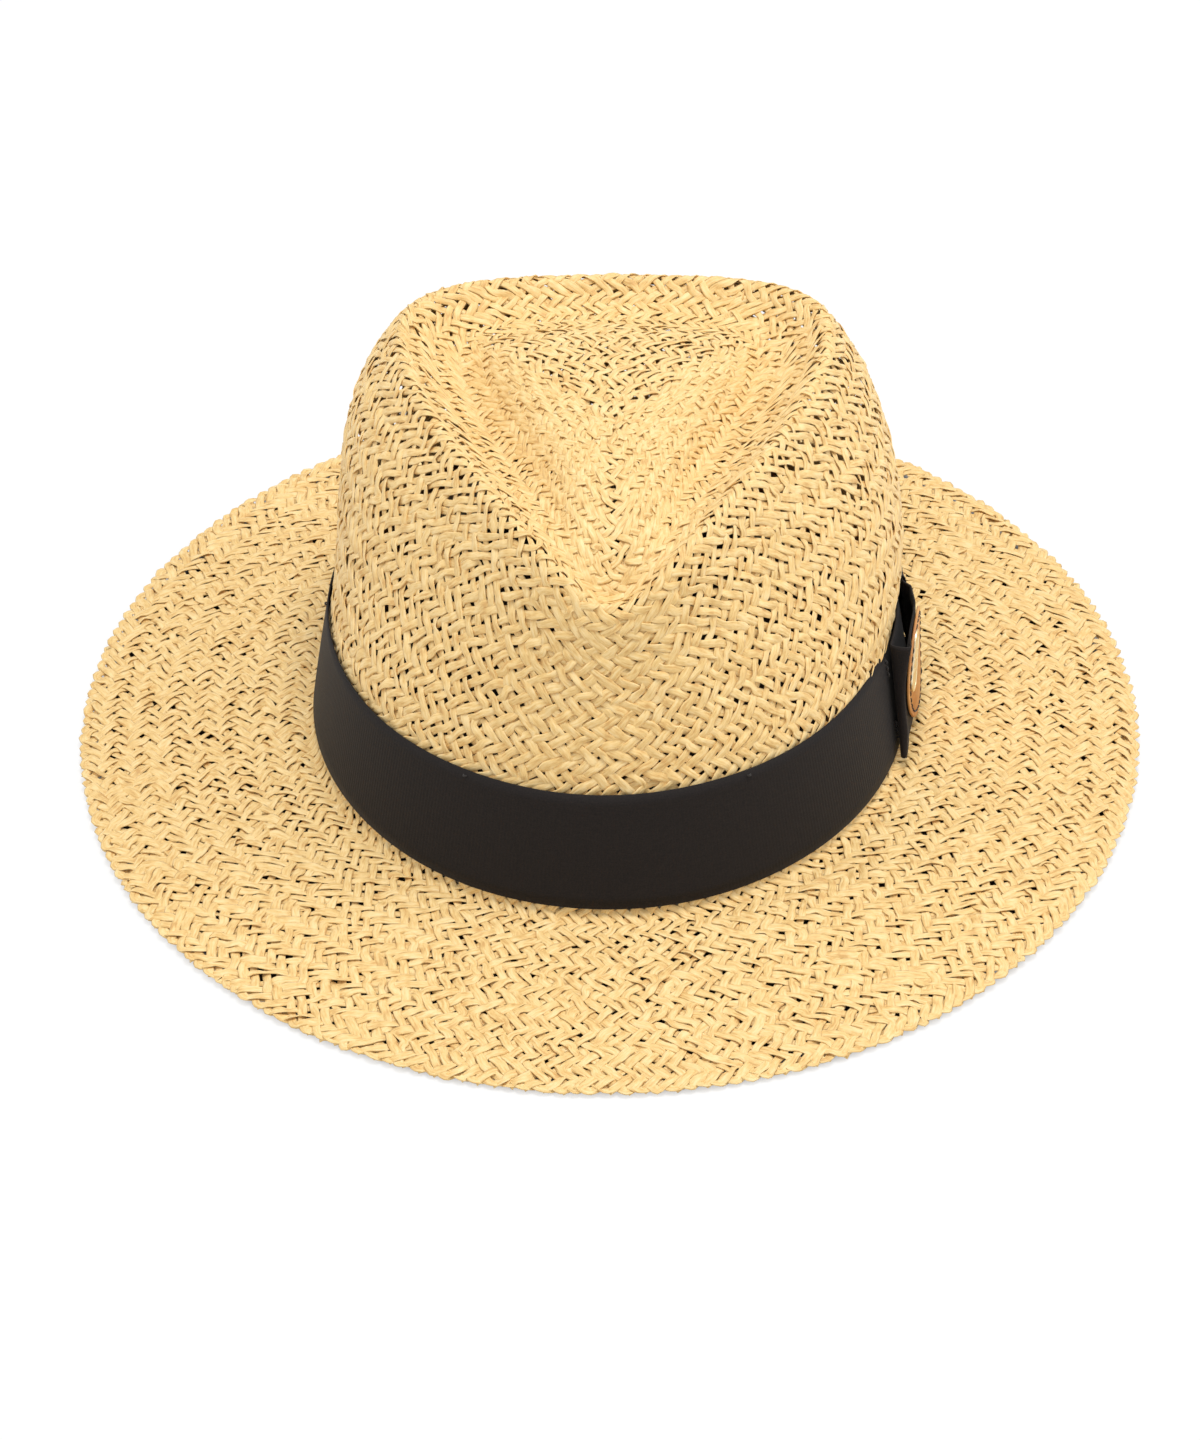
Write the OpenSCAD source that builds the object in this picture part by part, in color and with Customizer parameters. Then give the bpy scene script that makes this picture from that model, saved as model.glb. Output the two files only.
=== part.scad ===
// Panama hat: one woven hood (crown and brim), ribbon hatband with a flat side bow,
// a round leather badge with a plain metal plate, and a sewn-in sweatband.
// Front of the hat faces -Y, the wearer's left is +X, up is +Z.
// The origin lies on the surface that the brim stands on, under the middle of the hat.

/* [Head] */
// Length of the head oval inside the sweatband, front to back
head_l = 197; // [180:1:212]
// Width of the head oval inside the sweatband, side to side
head_w = 165; // [150:1:180]

/* [Brim] */
// Width of the brim at the sides
brim_side_w = 68; // [45:1:85]
// Width of the brim at the front and back
brim_front_w = 66.5; // [45:1:85]
// How far the brim edge drops below the crown's foot at the front and back
brim_drop = 6.4; // [2:0.2:12]
// How much less the brim edge drops at the sides
brim_side_rise = 0.8; // [0:0.1:3]
// Reach of the small curve between brim and crown
break_w = 3; // [2:0.5:6]

/* [Crown] */
// Height of the crown's rolled edge above its foot at the sides
crown_side_h = 100.4; // [88:1:120]
// Height of the crown's rolled edge above its foot at the back
crown_back_h = 98.6; // [88:1:120]
// Height of the two front peaks above the crown's foot
crown_peak_h = 98.2; // [88:1:120]
// Depth of the front pinch below the peaks
pinch_depth = 13.4; // [4:1:18]
// Half width of the front pinch
pinch_w = 16; // [10:1:24]
// Half width of the crown's top outline
top_half_w = 69; // [60:1:76]
// Reach of the crown's top outline to the front
top_front = 79; // [70:1:86]
// Reach of the crown's top outline to the back
top_back = 69; // [58:1:80]
// Shift of the top outline to the back
top_shift_y = 6; // [0:0.2:12]
// Shift of the hand-made crease to the wearer's left
top_shift_x = 1.8; // [0:0.2:6]
// How much the top outline narrows from back to front
top_narrowing = 0.45; // [0.3:0.01:0.6]
// Spread of the two rear corners of the top outline
corner_spread = 0.37; // [0:0.01:0.5]
// Squareness of the top outline at the back
corner_square = 0.28; // [0:0.01:0.4]
// Roll radius of the crown's top edge
roll_r = 5.2; // [4:0.1:8]
// Inward lean of the crown wall at the front, over the height of the hatband
lean_front = 9.2; // [4:0.2:12]
// Inward lean of the crown wall at the sides, over the height of the hatband
lean_side = 5.6; // [3:0.2:9]
// Inward lean of the crown wall at the back, over the height of the hatband
lean_back = 6.2; // [3:0.2:9]
// Outward swell of the crown wall, halfway up, at the back and sides
wall_swell = 12.6; // [4:0.2:14]
// Depth of the groove inside the rolled edge, at the sides
groove_depth = 13; // [6:1:18]
// Depth of the groove inside the rolled edge, at the back
groove_back_depth = 8; // [4:1:14]
// Distance from the rolled edge to the groove, at the sides
groove_in = 19; // [14:1:24]
// Distance from the rolled edge to the groove, at the back
groove_back_in = 13; // [10:1:18]
// Distance from the pinch to the foot of the crown's middle
pinch_in = 8; // [4:1:12]
// Rise from the pinch to the foot of the crown's middle
pinch_rise = 1; // [0:0.5:4]
// Height of the egg-shaped middle of the crown above its foot
dome_h = 99; // [86:1:116]
// Place of that middle, front to back
dome_y = -8; // [-16:1:4]
// Thickness of the woven straw
straw_t = 1.6; // [1:0.1:2.4]

/* [Hatband] */
// Height of the hatband ribbon
ribbon_h = 32.8; // [20:0.2:34]
// Thickness of the hatband ribbon
ribbon_t = 0.7; // [0.5:0.1:1.2]
// Height of the ribbon's lower edge above the crown's foot
ribbon_lift = 2; // [1.6:0.1:4]
// Clearance between curved layers
layer_gap = 0.3; // [0.2:0.05:0.5]

/* [Bow] */
// Place of the bow's front end along the hatband, from the hat's middle
bow_front_y = -26; // [-34:1:-24]
// Place of the bow's rear end along the hatband
bow_rear_y = 52; // [44:1:60]
// Place of the keeper's middle along the hatband
keeper_y = 18; // [16:1:24]
// Width of the keeper along the hatband
keeper_w = 14; // [8:1:18]
// Thickness of the keeper ribbon
keeper_t = 0.8; // [0.5:0.1:1.2]
// Thickness of the folded bow at its two ends
bow_end_t = 1.1; // [0.8:0.1:2]
// Thickness of the folded bow beside the keeper
bow_mid_t = 5; // [3:0.2:7]
// How far the keeper gathers the bow at its top and bottom edges
bow_gather = 3.6; // [2:0.2:6]

/* [Badge] */
// Diameter of the leather badge
badge_d = 32; // [22:1:34]
// Thickness of the leather badge
badge_t = 2.2; // [1.4:0.1:3]
// Place of the badge's middle along the hatband
badge_y = -8; // [-10:1:-6]
// Height of the plain metal plate
plate_h = 21; // [12:1:22]
// Width of the plain metal plate
plate_w = 11; // [6:1:12]
// Thickness of the plain metal plate
plate_t = 1.1; // [0.8:0.1:1.6]
// Shift of the plate towards the front of the badge
plate_shift = 4; // [0:0.5:5]
// Radius of each prong on the back of the plate
prong_r = 0.7; // [0.5:0.1:1]
// Distance between the two prongs
prong_pitch = 12; // [8:1:14]
// Clearance of a prong in its hole
prong_gap = 0.1; // [0.05:0.05:0.2]
// Radius of the washers that hold the prongs behind the leather
washer_r = 2.2; // [1.6:0.1:3]
// Thickness of the washers
washer_t = 0.4; // [0.3:0.1:0.6]

/* [Sweatband] */
// Height of the sweatband
sweatband_h = 32; // [22:1:34]
// Thickness of the sweatband
sweatband_t = 0.9; // [0.6:0.1:1.4]
// Radius of the reed sewn into the sweatband's lower edge
reed_r = 0.8; // [0.5:0.1:1.2]
// Height of the stitch line above the sweatband's lower edge
stitch_lift = 2.6; // [1.6:0.2:5]
// Length of one stitch
stitch_l = 5; // [3:0.5:6]
// Distance from stitch to stitch
stitch_pitch = 8; // [7:0.5:12]
// Radius of the sewing thread
thread_r = 0.3; // [0.2:0.05:0.4]
// Width of the tape over the sweatband's join, at the back
tape_w = 15; // [10:1:20]
// Height of that tape
tape_h = 28; // [18:1:30]
// Thickness of the tape and of the blank label
tape_t = 0.5; // [0.3:0.1:0.8]
// Width of the blank label
label_w = 30; // [20:1:36]
// Height of the blank label
label_h = 16; // [10:1:18]
// Turn of the label's middle from the back of the hat, in degrees
label_turn = 34; // [28:1:60]

/* [Hidden] */

straw_color = [0.93, 0.79, 0.55];
ribbon_color = [0.16, 0.14, 0.13];
leather_color = [0.79, 0.56, 0.32];
metal_color = [0.90, 0.85, 0.72];
lining_color = [0.88, 0.82, 0.70];
thread_color = [0.24, 0.22, 0.20];

// Rings of facets around the hat, and rows of facets from brim edge to crown centre
around = 64;
rows = 38;
turn_step = 360 / around;
up = [0, 0, 1];

// The crown's foot, outside the straw
foot_w = head_w / 2 + sweatband_t + layer_gap + straw_t;
foot_l = head_l / 2 + sweatband_t + layer_gap + straw_t;
foot_z = brim_drop + straw_t;
ribbon_top = ribbon_lift + ribbon_h;

// A smooth step from 0 to 1
function ease(t) = let (c = max(0, min(1, t))) c * c * (3 - 2 * c);

// Shares of front, back and side at an angle a around the hat (0 = +X, 90 = back)
function front_share(a) = pow(max(0, -sin(a)), 2);
function back_share(a) = pow(max(0, sin(a)), 2);
function side_share(a) = pow(cos(a), 2);
function by_side(a, front, side, back) =
    front_share(a) * front + side_share(a) * side + back_share(a) * back;

// The crown's foot oval and its outward direction
function foot(a) = [foot_w * cos(a), foot_l * sin(a), foot_z];
function outward(a) =
    let (v = [cos(a) / foot_w, sin(a) / foot_l, 0]) v / norm(v);

// A place on the straight lower wall of the crown: h above its foot, out from the straw
function wall(a, h, out) =
    foot(a) + up * h
    + outward(a) * (out - by_side(a, lean_front, lean_side, lean_back) * h / ribbon_top);

// The brim, d from the crown's foot
function brim_width(a) = brim_front_w + (brim_side_w - brim_front_w) * side_share(a);
function brim_z(a, share) = -share * (brim_drop - brim_side_rise * side_share(a));
function brim(a, share) =
    foot(a) + outward(a) * brim_width(a) * share + up * brim_z(a, share);

// The rolled top edge of the crown: a teardrop, flat at the back and narrow at the front
function top_x(a) =
    top_half_w * cos(a) * (1 - top_narrowing * (1 - sin(90 * sin(a))) / 2)
    * (1 + corner_spread * back_share(a));
function top_reach(a) = top_front + (top_back - top_front) * (1 + sin(90 * sin(a))) / 2;
function top_y(a) =
    top_shift_y + top_reach(a) * sin(a) * (1 + corner_square * max(0, sin(a)) * side_share(a));
function top_z(a) =
    by_side(a, crown_peak_h, crown_side_h, crown_back_h)
    - (sin(a) < 0 ? pinch_depth * exp(-pow(top_x(a) / pinch_w, 2)) : 0);
function top_edge(a) = [top_x(a) + top_shift_x, top_y(a), foot_z + top_z(a)];
function top_out(a) =
    let (d = top_edge(a + 2) - top_edge(a - 2), v = [d[1], -d[0], 0]) v / norm(v);

// The crown's egg-shaped middle
dome = [top_shift_x, dome_y, foot_z + dome_h];
function groove(a) =
    let (p = top_edge(a)
             - top_out(a) * by_side(a, pinch_in, groove_in, groove_back_in)
             - up * by_side(a, -pinch_rise, groove_depth, groove_back_depth),
         x = p[0] - top_shift_x)
    [top_shift_x + (x * cos(a) > 0 ? x : 0), p[1], p[2]];
function shoulder(a, share, rise) =
    let (g = groove(a), p = g + (dome - g) * share)
    [p[0], p[1], g[2] + (dome[2] - g[2]) * rise];

// The cage of points that the hood's surface is drawn through, at the angle a
function swell(a) =
    wall_swell * ease((1 + sin(a)) / 1.5) * (1 - front_share(a)) * (1 - 0.6 * pow(back_share(a), 3));
function cage(a) =
    let (t = top_edge(a), o = top_out(a), s = outward(a) * swell(a), w = wall(a, ribbon_top, 0))
    [
        brim(a, 1), brim(a, 0.75), brim(a, 0.45), brim(a, 0.2),
        brim(a, break_w * 2 / brim_width(a)),
        foot(a) + outward(a) * break_w * 0.7 - up * 0.9,
        foot(a),
        wall(a, 6, 0), wall(a, ribbon_top * 0.5, 0), wall(a, ribbon_top * 0.88, 0),
        wall(a, ribbon_top * 1.16, 0),
        w * 0.62 + t * 0.38 + s * 0.8,
        w * 0.28 + t * 0.72 + s,
        t + (o - up) * roll_r * 0.9,
        t + up * roll_r * 0.15,
        t - (o + up) * roll_r * 0.9,
        groove(a),
        shoulder(a, 0.3, 0.72),
        shoulder(a, 0.62, 1),
        dome + up * 0.5
    ];

// A smooth curve along a list of points, from t = 0 to t = len - 1
function knot(p, i) =
    i < 0 ? 2 * p[0] - p[1]
    : i >= len(p) ? 2 * p[len(p) - 1] - p[len(p) - 2]
    : p[i];
function curve(p, t) =
    let (i = min(floor(t), len(p) - 2), f = t - i)
    (pow(1 - f, 3) * knot(p, i - 1)
     + (3 * pow(f, 3) - 6 * pow(f, 2) + 4) * knot(p, i)
     + (-3 * pow(f, 3) + 3 * pow(f, 2) + 3 * f + 1) * knot(p, i + 1)
     + pow(f, 3) * knot(p, i + 2)) / 6;

// Outer and inner face of the woven hood, row by row
cages = [for (j = [0 : around - 1]) cage(j * turn_step)];
side_cages = [for (j = [0 : around - 1]) [cage(j * turn_step - 1), cage(j * turn_step + 1)]];
cage_end = len(cages[0]) - 1;
function row_t(i) = cage_end * i / rows;
function hood_point(i, j) = curve(cages[j], row_t(i));
function hood_normal(i, j) =
    let (along = curve(cages[j], row_t(i) + 0.05) - curve(cages[j], row_t(i) - 0.05),
         across = curve(side_cages[j][1], row_t(i)) - curve(side_cages[j][0], row_t(i)),
         v = cross(across, along))
    v / norm(v);
outer_rows = [for (i = [0 : rows - 1]) [for (j = [0 : around - 1]) hood_point(i, j)]];
inner_rows = [for (i = [0 : rows - 1])
              [for (j = [0 : around - 1]) outer_rows[i][j] - hood_normal(i, j) * straw_t]];
peak = dome + up * 0.5;

// A closed shape through rings of points that close on themselves in both directions
module closed_loop(rings) {
    n = len(rings);
    m = len(rings[0]);
    polyhedron(
        [for (r = rings) each r],
        [for (i = [0 : n - 1], j = [0 : m - 1])
            let (i2 = (i + 1) % n, j2 = (j + 1) % m)
            each [[i * m + j, i * m + j2, i2 * m + j2], [i * m + j, i2 * m + j2, i2 * m + j]]]
    );
}

// A closed shape through rings of points, with a flat cap at each end
module capped_skin(rings) {
    n = len(rings);
    m = len(rings[0]);
    polyhedron(
        [for (r = rings) each r],
        concat(
            [[for (j = [m - 1 : -1 : 0]) j]],
            [[for (j = [0 : m - 1]) (n - 1) * m + j]],
            [for (i = [0 : n - 2], j = [0 : m - 1])
                let (j2 = (j + 1) % m)
                each [[i * m + j, i * m + j2, (i + 1) * m + j2],
                      [i * m + j, (i + 1) * m + j2, (i + 1) * m + j]]]
        )
    );
}

// A flat layer of cloth around the crown, from height low to high, out from the straw
module wall_layer(low, high, out, thick) {
    closed_loop([for (j = [0 : around - 1])
        let (a = -j * turn_step)
        [wall(a, low, out), wall(a, high, out),
         wall(a, high, out + thick), wall(a, low, out + thick)]]);
}

// A patch of cloth on part of the crown wall
module wall_patch(from, to, low, high, out, thick) {
    steps = 6;
    capped_skin([for (i = [0 : steps])
        let (a = to + (from - to) * i / steps)
        [wall(a, low, out), wall(a, high, out),
         wall(a, high, out + thick), wall(a, low, out + thick)]]);
}

// One stitch: a short straight thread from p to q
module stitch(p, q) {
    d = q - p;
    l = norm(d);
    translate(p)
        rotate([0, acos(d[2] / l), atan2(d[1], d[0])])
            cylinder(h = l, r = thread_r, $fn = 16);
}

// Woven hood: crown and brim in one piece
module straw_body() {
    count = rows * around;
    points = concat(
        [for (r = outer_rows) each r],
        [for (r = inner_rows) each r],
        [peak, peak - up * straw_t]
    );
    skin = [for (i = [0 : rows - 2], j = [0 : around - 1])
        let (j2 = (j + 1) % around, a = i * around, b = (i + 1) * around)
        each [[a + j, b + j, b + j2], [a + j, b + j2, a + j2]]];
    tip = [for (j = [0 : around - 1])
        [(rows - 1) * around + j, 2 * count, (rows - 1) * around + (j + 1) % around]];
    inner_skin = [for (f = skin) [f[2] + count, f[1] + count, f[0] + count]];
    inner_tip = [for (f = tip) [f[2] + count, f[1] + 1, f[0] + count]];
    edge = [for (j = [0 : around - 1])
        let (j2 = (j + 1) % around)
        each [[j, j2, count + j2], [j, count + j2, count + j]]];
    color(straw_color)
        polyhedron(points, concat(skin, tip, inner_skin, inner_tip, edge));
}

// Grosgrain ribbon around the foot of the crown
module hatband_ribbon() {
    color(ribbon_color)
        wall_layer(ribbon_lift, ribbon_top, layer_gap, ribbon_t);
}

// Outer face of the hatband, measured out from the straw
band_face = layer_gap + ribbon_t;

// Short threads that hold the ribbon to the straw at its upper edge
tack_angles = [for (i = [1 : 5]) i * 60];
tack_half = 0.5;
module ribbon_tacks() {
    color(thread_color)
        for (a = tack_angles)
            stitch(wall(a - tack_half, ribbon_top - 1.5, band_face + thread_r + 0.05),
                   wall(a + tack_half, ribbon_top - 1.5, band_face + thread_r + 0.05));
}

// Angle around the crown's foot for a place y along the hat's left side
function at_y(y) = asin(y / foot_l);

// The folded bow: a wedge that grows from each end towards the keeper, gathered under it
keeper_front = keeper_y - keeper_w / 2;
keeper_rear = keeper_y + keeper_w / 2;
bow_back = band_face + keeper_t + 2 * layer_gap;
gathered_t = bow_mid_t * 0.5;
function bow_t(y) =
    let (near = y < keeper_y ? (y - bow_front_y) / (keeper_front - bow_front_y)
                             : (bow_rear_y - y) / (bow_rear_y - keeper_rear),
         grown = bow_end_t + (bow_mid_t - bow_end_t) * min(1, near),
         inside = ease((near - 0.88) / 0.12))
    grown + (gathered_t - grown) * inside;
function bow_inset(y) =
    let (near = min(1, y < keeper_y ? (y - bow_front_y) / (keeper_front - bow_front_y)
                                    : (bow_rear_y - y) / (bow_rear_y - keeper_rear)))
    bow_gather * ease((near - 0.72) / 0.28);
bow_round = 0.7;
function bow_section(y) =
    let (a = at_y(y), g = bow_inset(y), t = bow_t(y),
         low = ribbon_lift + 0.2 + g, high = ribbon_top + 0.6 - g)
    [
        wall(a, low + bow_round * 0.4, bow_back), wall(a, high - bow_round * 0.4, bow_back),
        wall(a, high, bow_back + t * 0.35), wall(a, high - bow_round, bow_back + t),
        wall(a, low + bow_round, bow_back + t), wall(a, low, bow_back + t * 0.35)
    ];
bow_steps = 36;
module bow_loop() {
    color(ribbon_color)
        capped_skin([for (i = [0 : bow_steps])
            bow_section(bow_rear_y + (bow_front_y - bow_rear_y) * i / bow_steps)]);
}

// The keeper: a narrow ribbon wrapped around the gathered middle of the bow
keeper_low = ribbon_lift + 0.2 + bow_gather - layer_gap;
keeper_high = ribbon_top + 0.6 - bow_gather + layer_gap;
keeper_in = band_face + layer_gap;
keeper_face = bow_back + gathered_t + layer_gap + keeper_t;
keeper_corner = 1.6;
keeper_path = [
    [keeper_low - keeper_t, keeper_in, keeper_low, keeper_in + keeper_t],
    [keeper_high + keeper_t, keeper_in, keeper_high, keeper_in + keeper_t],
    [keeper_high + keeper_t, keeper_face - keeper_corner,
     keeper_high, keeper_face - keeper_corner],
    [keeper_high + keeper_t - keeper_corner * 0.4, keeper_face - keeper_corner * 0.4,
     keeper_high, keeper_face - keeper_t],
    [keeper_high - keeper_corner, keeper_face,
     keeper_high - keeper_corner, keeper_face - keeper_t],
    [keeper_low + keeper_corner, keeper_face,
     keeper_low + keeper_corner, keeper_face - keeper_t],
    [keeper_low - keeper_t + keeper_corner * 0.4, keeper_face - keeper_corner * 0.4,
     keeper_low, keeper_face - keeper_t],
    [keeper_low - keeper_t, keeper_face - keeper_corner,
     keeper_low, keeper_face - keeper_corner]
];
keeper_steps = 4;
// One ring of the keeper: out along its outer face and back along its inner face
function keeper_ring(p) = concat(
    [for (i = [0 : keeper_steps])
        wall(at_y(keeper_front + keeper_w * i / keeper_steps), p[0], p[1])],
    [for (i = [keeper_steps : -1 : 0])
        wall(at_y(keeper_front + keeper_w * i / keeper_steps), p[2], p[3])]
);
module bow_keeper() {
    color(ribbon_color)
        closed_loop([for (p = keeper_path) keeper_ring(p)]);
}

// Threads that sew the bow's two ends to the hatband
bow_tack_h = 6;
module bow_stitches() {
    color(thread_color)
        for (y = [bow_front_y - 0.6, bow_rear_y + 0.6], side = [0, 1]) {
            h = side == 0 ? ribbon_lift + 3 : ribbon_top - 3 - bow_tack_h;
            a = at_y(y);
            stitch(wall(a, h, band_face + thread_r + 0.05),
                   wall(a, h + bow_tack_h, band_face + thread_r + 0.05));
        }
}

// The badge lies on the bow's front wing. Its frame: x across, y up the hat, z outward
badge_h = ribbon_lift + ribbon_h / 2;
function bow_face(y, h) = wall(at_y(y), h, bow_back + bow_t(y));
badge_seat = bow_face(badge_y, badge_h);
badge_across = let (v = bow_face(badge_y + 6, badge_h) - bow_face(badge_y - 6, badge_h)) v / norm(v);
badge_up = let (v = wall(at_y(badge_y), badge_h + 6, 0) - wall(at_y(badge_y), badge_h - 6, 0))
    v / norm(v);
badge_out = cross(badge_across, badge_up);
// The curved wing falls away from the flat badge, so the badge touches it at its middle
badge_lift = washer_t + 0.35;
module on_badge() {
    o = badge_seat + badge_out * badge_lift;
    multmatrix([
        [badge_across[0], badge_up[0], badge_out[0], o[0]],
        [badge_across[1], badge_up[1], badge_out[1], o[1]],
        [badge_across[2], badge_up[2], badge_out[2], o[2]]
    ])
        children();
}
prong_places = [-prong_pitch / 2, prong_pitch / 2];

// Round leather badge with a softened front edge and holes for the plate's prongs
badge_edge = 0.6;
module leather_badge() {
    color(leather_color)
        on_badge()
            difference() {
                rotate_extrude($fn = 96)
                    polygon([[0, 0], [badge_d / 2, 0], [badge_d / 2, badge_t - badge_edge],
                             [badge_d / 2 - badge_edge, badge_t], [0, badge_t]]);
                for (y = prong_places)
                    translate([-plate_shift, y, -1])
                        cylinder(h = badge_t + 2, r = prong_r + prong_gap, $fn = 32);
            }
}

// Threads that sew the badge to the bow, near its rim
badge_stitch_count = 8;
badge_stitch_r = badge_d / 2 - 1.8;
badge_stitch_turn = 4;
module badge_stitches() {
    color(thread_color)
        on_badge()
            for (i = [0 : badge_stitch_count - 1]) {
                a = (i + 0.5) * 360 / badge_stitch_count;
                z = badge_t + thread_r + 0.05;
                stitch([badge_stitch_r * cos(a - badge_stitch_turn),
                        badge_stitch_r * sin(a - badge_stitch_turn), z],
                       [badge_stitch_r * cos(a + badge_stitch_turn),
                        badge_stitch_r * sin(a + badge_stitch_turn), z]);
            }
}

// Plain metal plate with round ends
plate_seat = badge_t + 0.05;
module badge_plate() {
    color(metal_color)
        on_badge()
            translate([-plate_shift, 0, plate_seat])
                linear_extrude(plate_t) {
                    square([plate_w, plate_h - plate_w], center = true);
                    for (s = [-1, 1])
                        translate([0, s * (plate_h - plate_w) / 2])
                            circle(r = plate_w / 2, $fn = 64);
                }
}

// Prongs behind the plate, through the leather and the washers
module plate_prongs() {
    color(metal_color)
        on_badge()
            for (y = prong_places)
                translate([-plate_shift, y, -washer_t])
                    cylinder(h = washer_t + plate_seat, r = prong_r, $fn = 32);
}

// Washers behind the leather
washer_back_gap = 0.05;
module plate_washers() {
    color(metal_color)
        on_badge()
            for (y = prong_places)
                translate([-plate_shift, y, -washer_t - washer_back_gap])
                    difference() {
                        cylinder(h = washer_t, r = washer_r, $fn = 32);
                        translate([0, 0, -1])
                            cylinder(h = washer_t + 2, r = prong_r + prong_gap, $fn = 32);
                    }
}

// Sweatband: a strip of soft leather that stands inside the crown wall
band_out = -straw_t - layer_gap - sweatband_t;
band_low = 1.2;
band_high = band_low + sweatband_h;
module sweatband() {
    color(leather_color)
        wall_layer(band_low, band_high, band_out, sweatband_t);
}

// Reed: a thin cord inside the fold at the sweatband's lower edge
reed_sides = 8;
reed_h = band_low - reed_r - 0.2;
reed_out = band_out + sweatband_t / 2;
module sweatband_reed() {
    color(lining_color)
        closed_loop([for (j = [0 : around - 1])
            let (a = -j * turn_step)
            [for (k = [0 : reed_sides - 1])
                let (b = -k * 360 / reed_sides)
                wall(a, reed_h + reed_r * sin(b), reed_out + reed_r * cos(b))]]);
}

// Row of stitches along the sweatband's lower edge
stitch_h = band_low + stitch_lift;
stitch_out = band_out - thread_r - 0.15;
stitch_count = round(PI * (head_w + head_l) / 2 / stitch_pitch);
stitch_turn = 360 / stitch_count * stitch_l / stitch_pitch / 2;
tape_turn = tape_w / head_w * 180 / PI;
module sweatband_stitching() {
    color(lining_color)
        for (i = [0 : stitch_count - 1]) {
            a = 90 + (i + 0.5) * 360 / stitch_count;
            if (abs(a - 90) > tape_turn + stitch_turn && abs(a - 450) > tape_turn + stitch_turn)
                stitch(wall(a - stitch_turn, stitch_h, stitch_out),
                       wall(a + stitch_turn, stitch_h, stitch_out));
        }
}

// Tape over the sweatband's join at the back
tape_low = band_low + (sweatband_h - tape_h) / 2;
tape_out = band_out - layer_gap - tape_t;
module sweatband_tape() {
    color(lining_color)
        wall_patch(90 - tape_turn, 90 + tape_turn, tape_low, tape_low + tape_h, tape_out, tape_t);
}

// Two upright stitch rows that hold the tape
tape_stitch_count = 4;
module tape_stitches() {
    color(thread_color)
        for (side = [-1, 1], i = [0 : tape_stitch_count - 1]) {
            a = 90 + side * tape_turn * 0.72;
            h = tape_low + 2 + i * (tape_h - 4) / tape_stitch_count;
            out = tape_out - thread_r - 0.15;
            stitch(wall(a, h, out), wall(a, h + stitch_l * 0.8, out));
        }
}

// Blank label on the sweatband, and the stitches at its two ends
label_half = label_w / head_l * 180 / PI;
label_mid = 90 + label_turn;
label_low = band_low + (sweatband_h - label_h) / 2;
module size_label() {
    color(lining_color)
        wall_patch(label_mid - label_half, label_mid + label_half,
                   label_low, label_low + label_h, tape_out, tape_t);
}
label_stitch_count = 3;
module label_stitches() {
    color(thread_color)
        for (side = [-1, 1], i = [0 : label_stitch_count - 1]) {
            a = label_mid + side * label_half * 0.86;
            h = label_low + 1.2 + i * (label_h - 2.4) / label_stitch_count;
            out = tape_out - thread_r - 0.15;
            stitch(wall(a, h, out), wall(a, h + stitch_l * 0.6, out));
        }
}

straw_body();
hatband_ribbon();
ribbon_tacks();
bow_loop();
bow_keeper();
bow_stitches();
leather_badge();
badge_stitches();
badge_plate();
plate_prongs();
plate_washers();
sweatband();
sweatband_reed();
sweatband_stitching();
sweatband_tape();
tape_stitches();
size_label();
label_stitches();
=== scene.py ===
# Panama hat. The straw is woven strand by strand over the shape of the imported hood,
# then come the ribbon, the bow with its badge, and what is sewn inside the crown.
import math

import bmesh
import bpy
import numpy as np
from mathutils import Matrix, Vector


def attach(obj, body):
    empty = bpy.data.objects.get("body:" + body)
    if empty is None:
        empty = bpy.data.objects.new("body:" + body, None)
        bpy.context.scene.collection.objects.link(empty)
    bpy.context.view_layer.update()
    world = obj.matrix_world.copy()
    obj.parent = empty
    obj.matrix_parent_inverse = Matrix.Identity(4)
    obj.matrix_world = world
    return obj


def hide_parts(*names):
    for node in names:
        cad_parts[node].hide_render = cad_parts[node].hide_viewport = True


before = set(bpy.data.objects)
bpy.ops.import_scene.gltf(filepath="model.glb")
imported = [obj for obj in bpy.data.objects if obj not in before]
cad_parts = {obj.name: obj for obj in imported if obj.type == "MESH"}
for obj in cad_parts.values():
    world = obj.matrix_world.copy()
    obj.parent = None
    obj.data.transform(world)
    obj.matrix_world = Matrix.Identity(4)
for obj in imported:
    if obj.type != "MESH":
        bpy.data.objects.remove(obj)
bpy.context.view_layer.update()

mm = 0.001
turn = 2 * math.pi
up = np.array([0.0, 0.0, 1.0])
rng = np.random.default_rng(57)

# The hood's sizes in millimetres. They are those of the part's own source, but for a tighter
# rollRadius, a deeper groove with a rounder front, and the bulge of the straw over the bow.
hood = {
    "headLength": 197, "headWidth": 165, "sweatbandThick": 0.9, "layerGap": 0.3,
    "strawThick": 1.6, "brimSide": 68, "brimFront": 66.5, "brimDrop": 6.4,
    "brimSideRise": 0.8, "breakWidth": 3, "sideHeight": 100.4, "backHeight": 98.6,
    "peakHeight": 98.2, "pinchDepth": 13.4, "pinchWidth": 16, "topHalfWidth": 69,
    "topFront": 79, "topBack": 69, "topShiftY": 6, "topShiftX": 1.8, "topNarrowing": 0.45,
    "cornerSpread": 0.37, "cornerSquare": 0.28, "rollRadius": 4.4, "leanFront": 9.2,
    "leanSide": 5.6, "leanBack": 6.2, "wallSwell": 12.6, "grooveDepth": 16,
    "grooveBackDepth": 9.5, "grooveIn": 19, "grooveBackIn": 13, "pinchIn": 8, "pinchRise": 1,
    "frontRound": 18, "domeHeight": 99, "domeY": -8, "ribbonHeight": 32.8, "ribbonThick": 0.7,
    "ribbonLift": 2, "bulge": 7.4, "bulgeAngle": 0.15, "bulgeWidth": 0.55,
}
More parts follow.
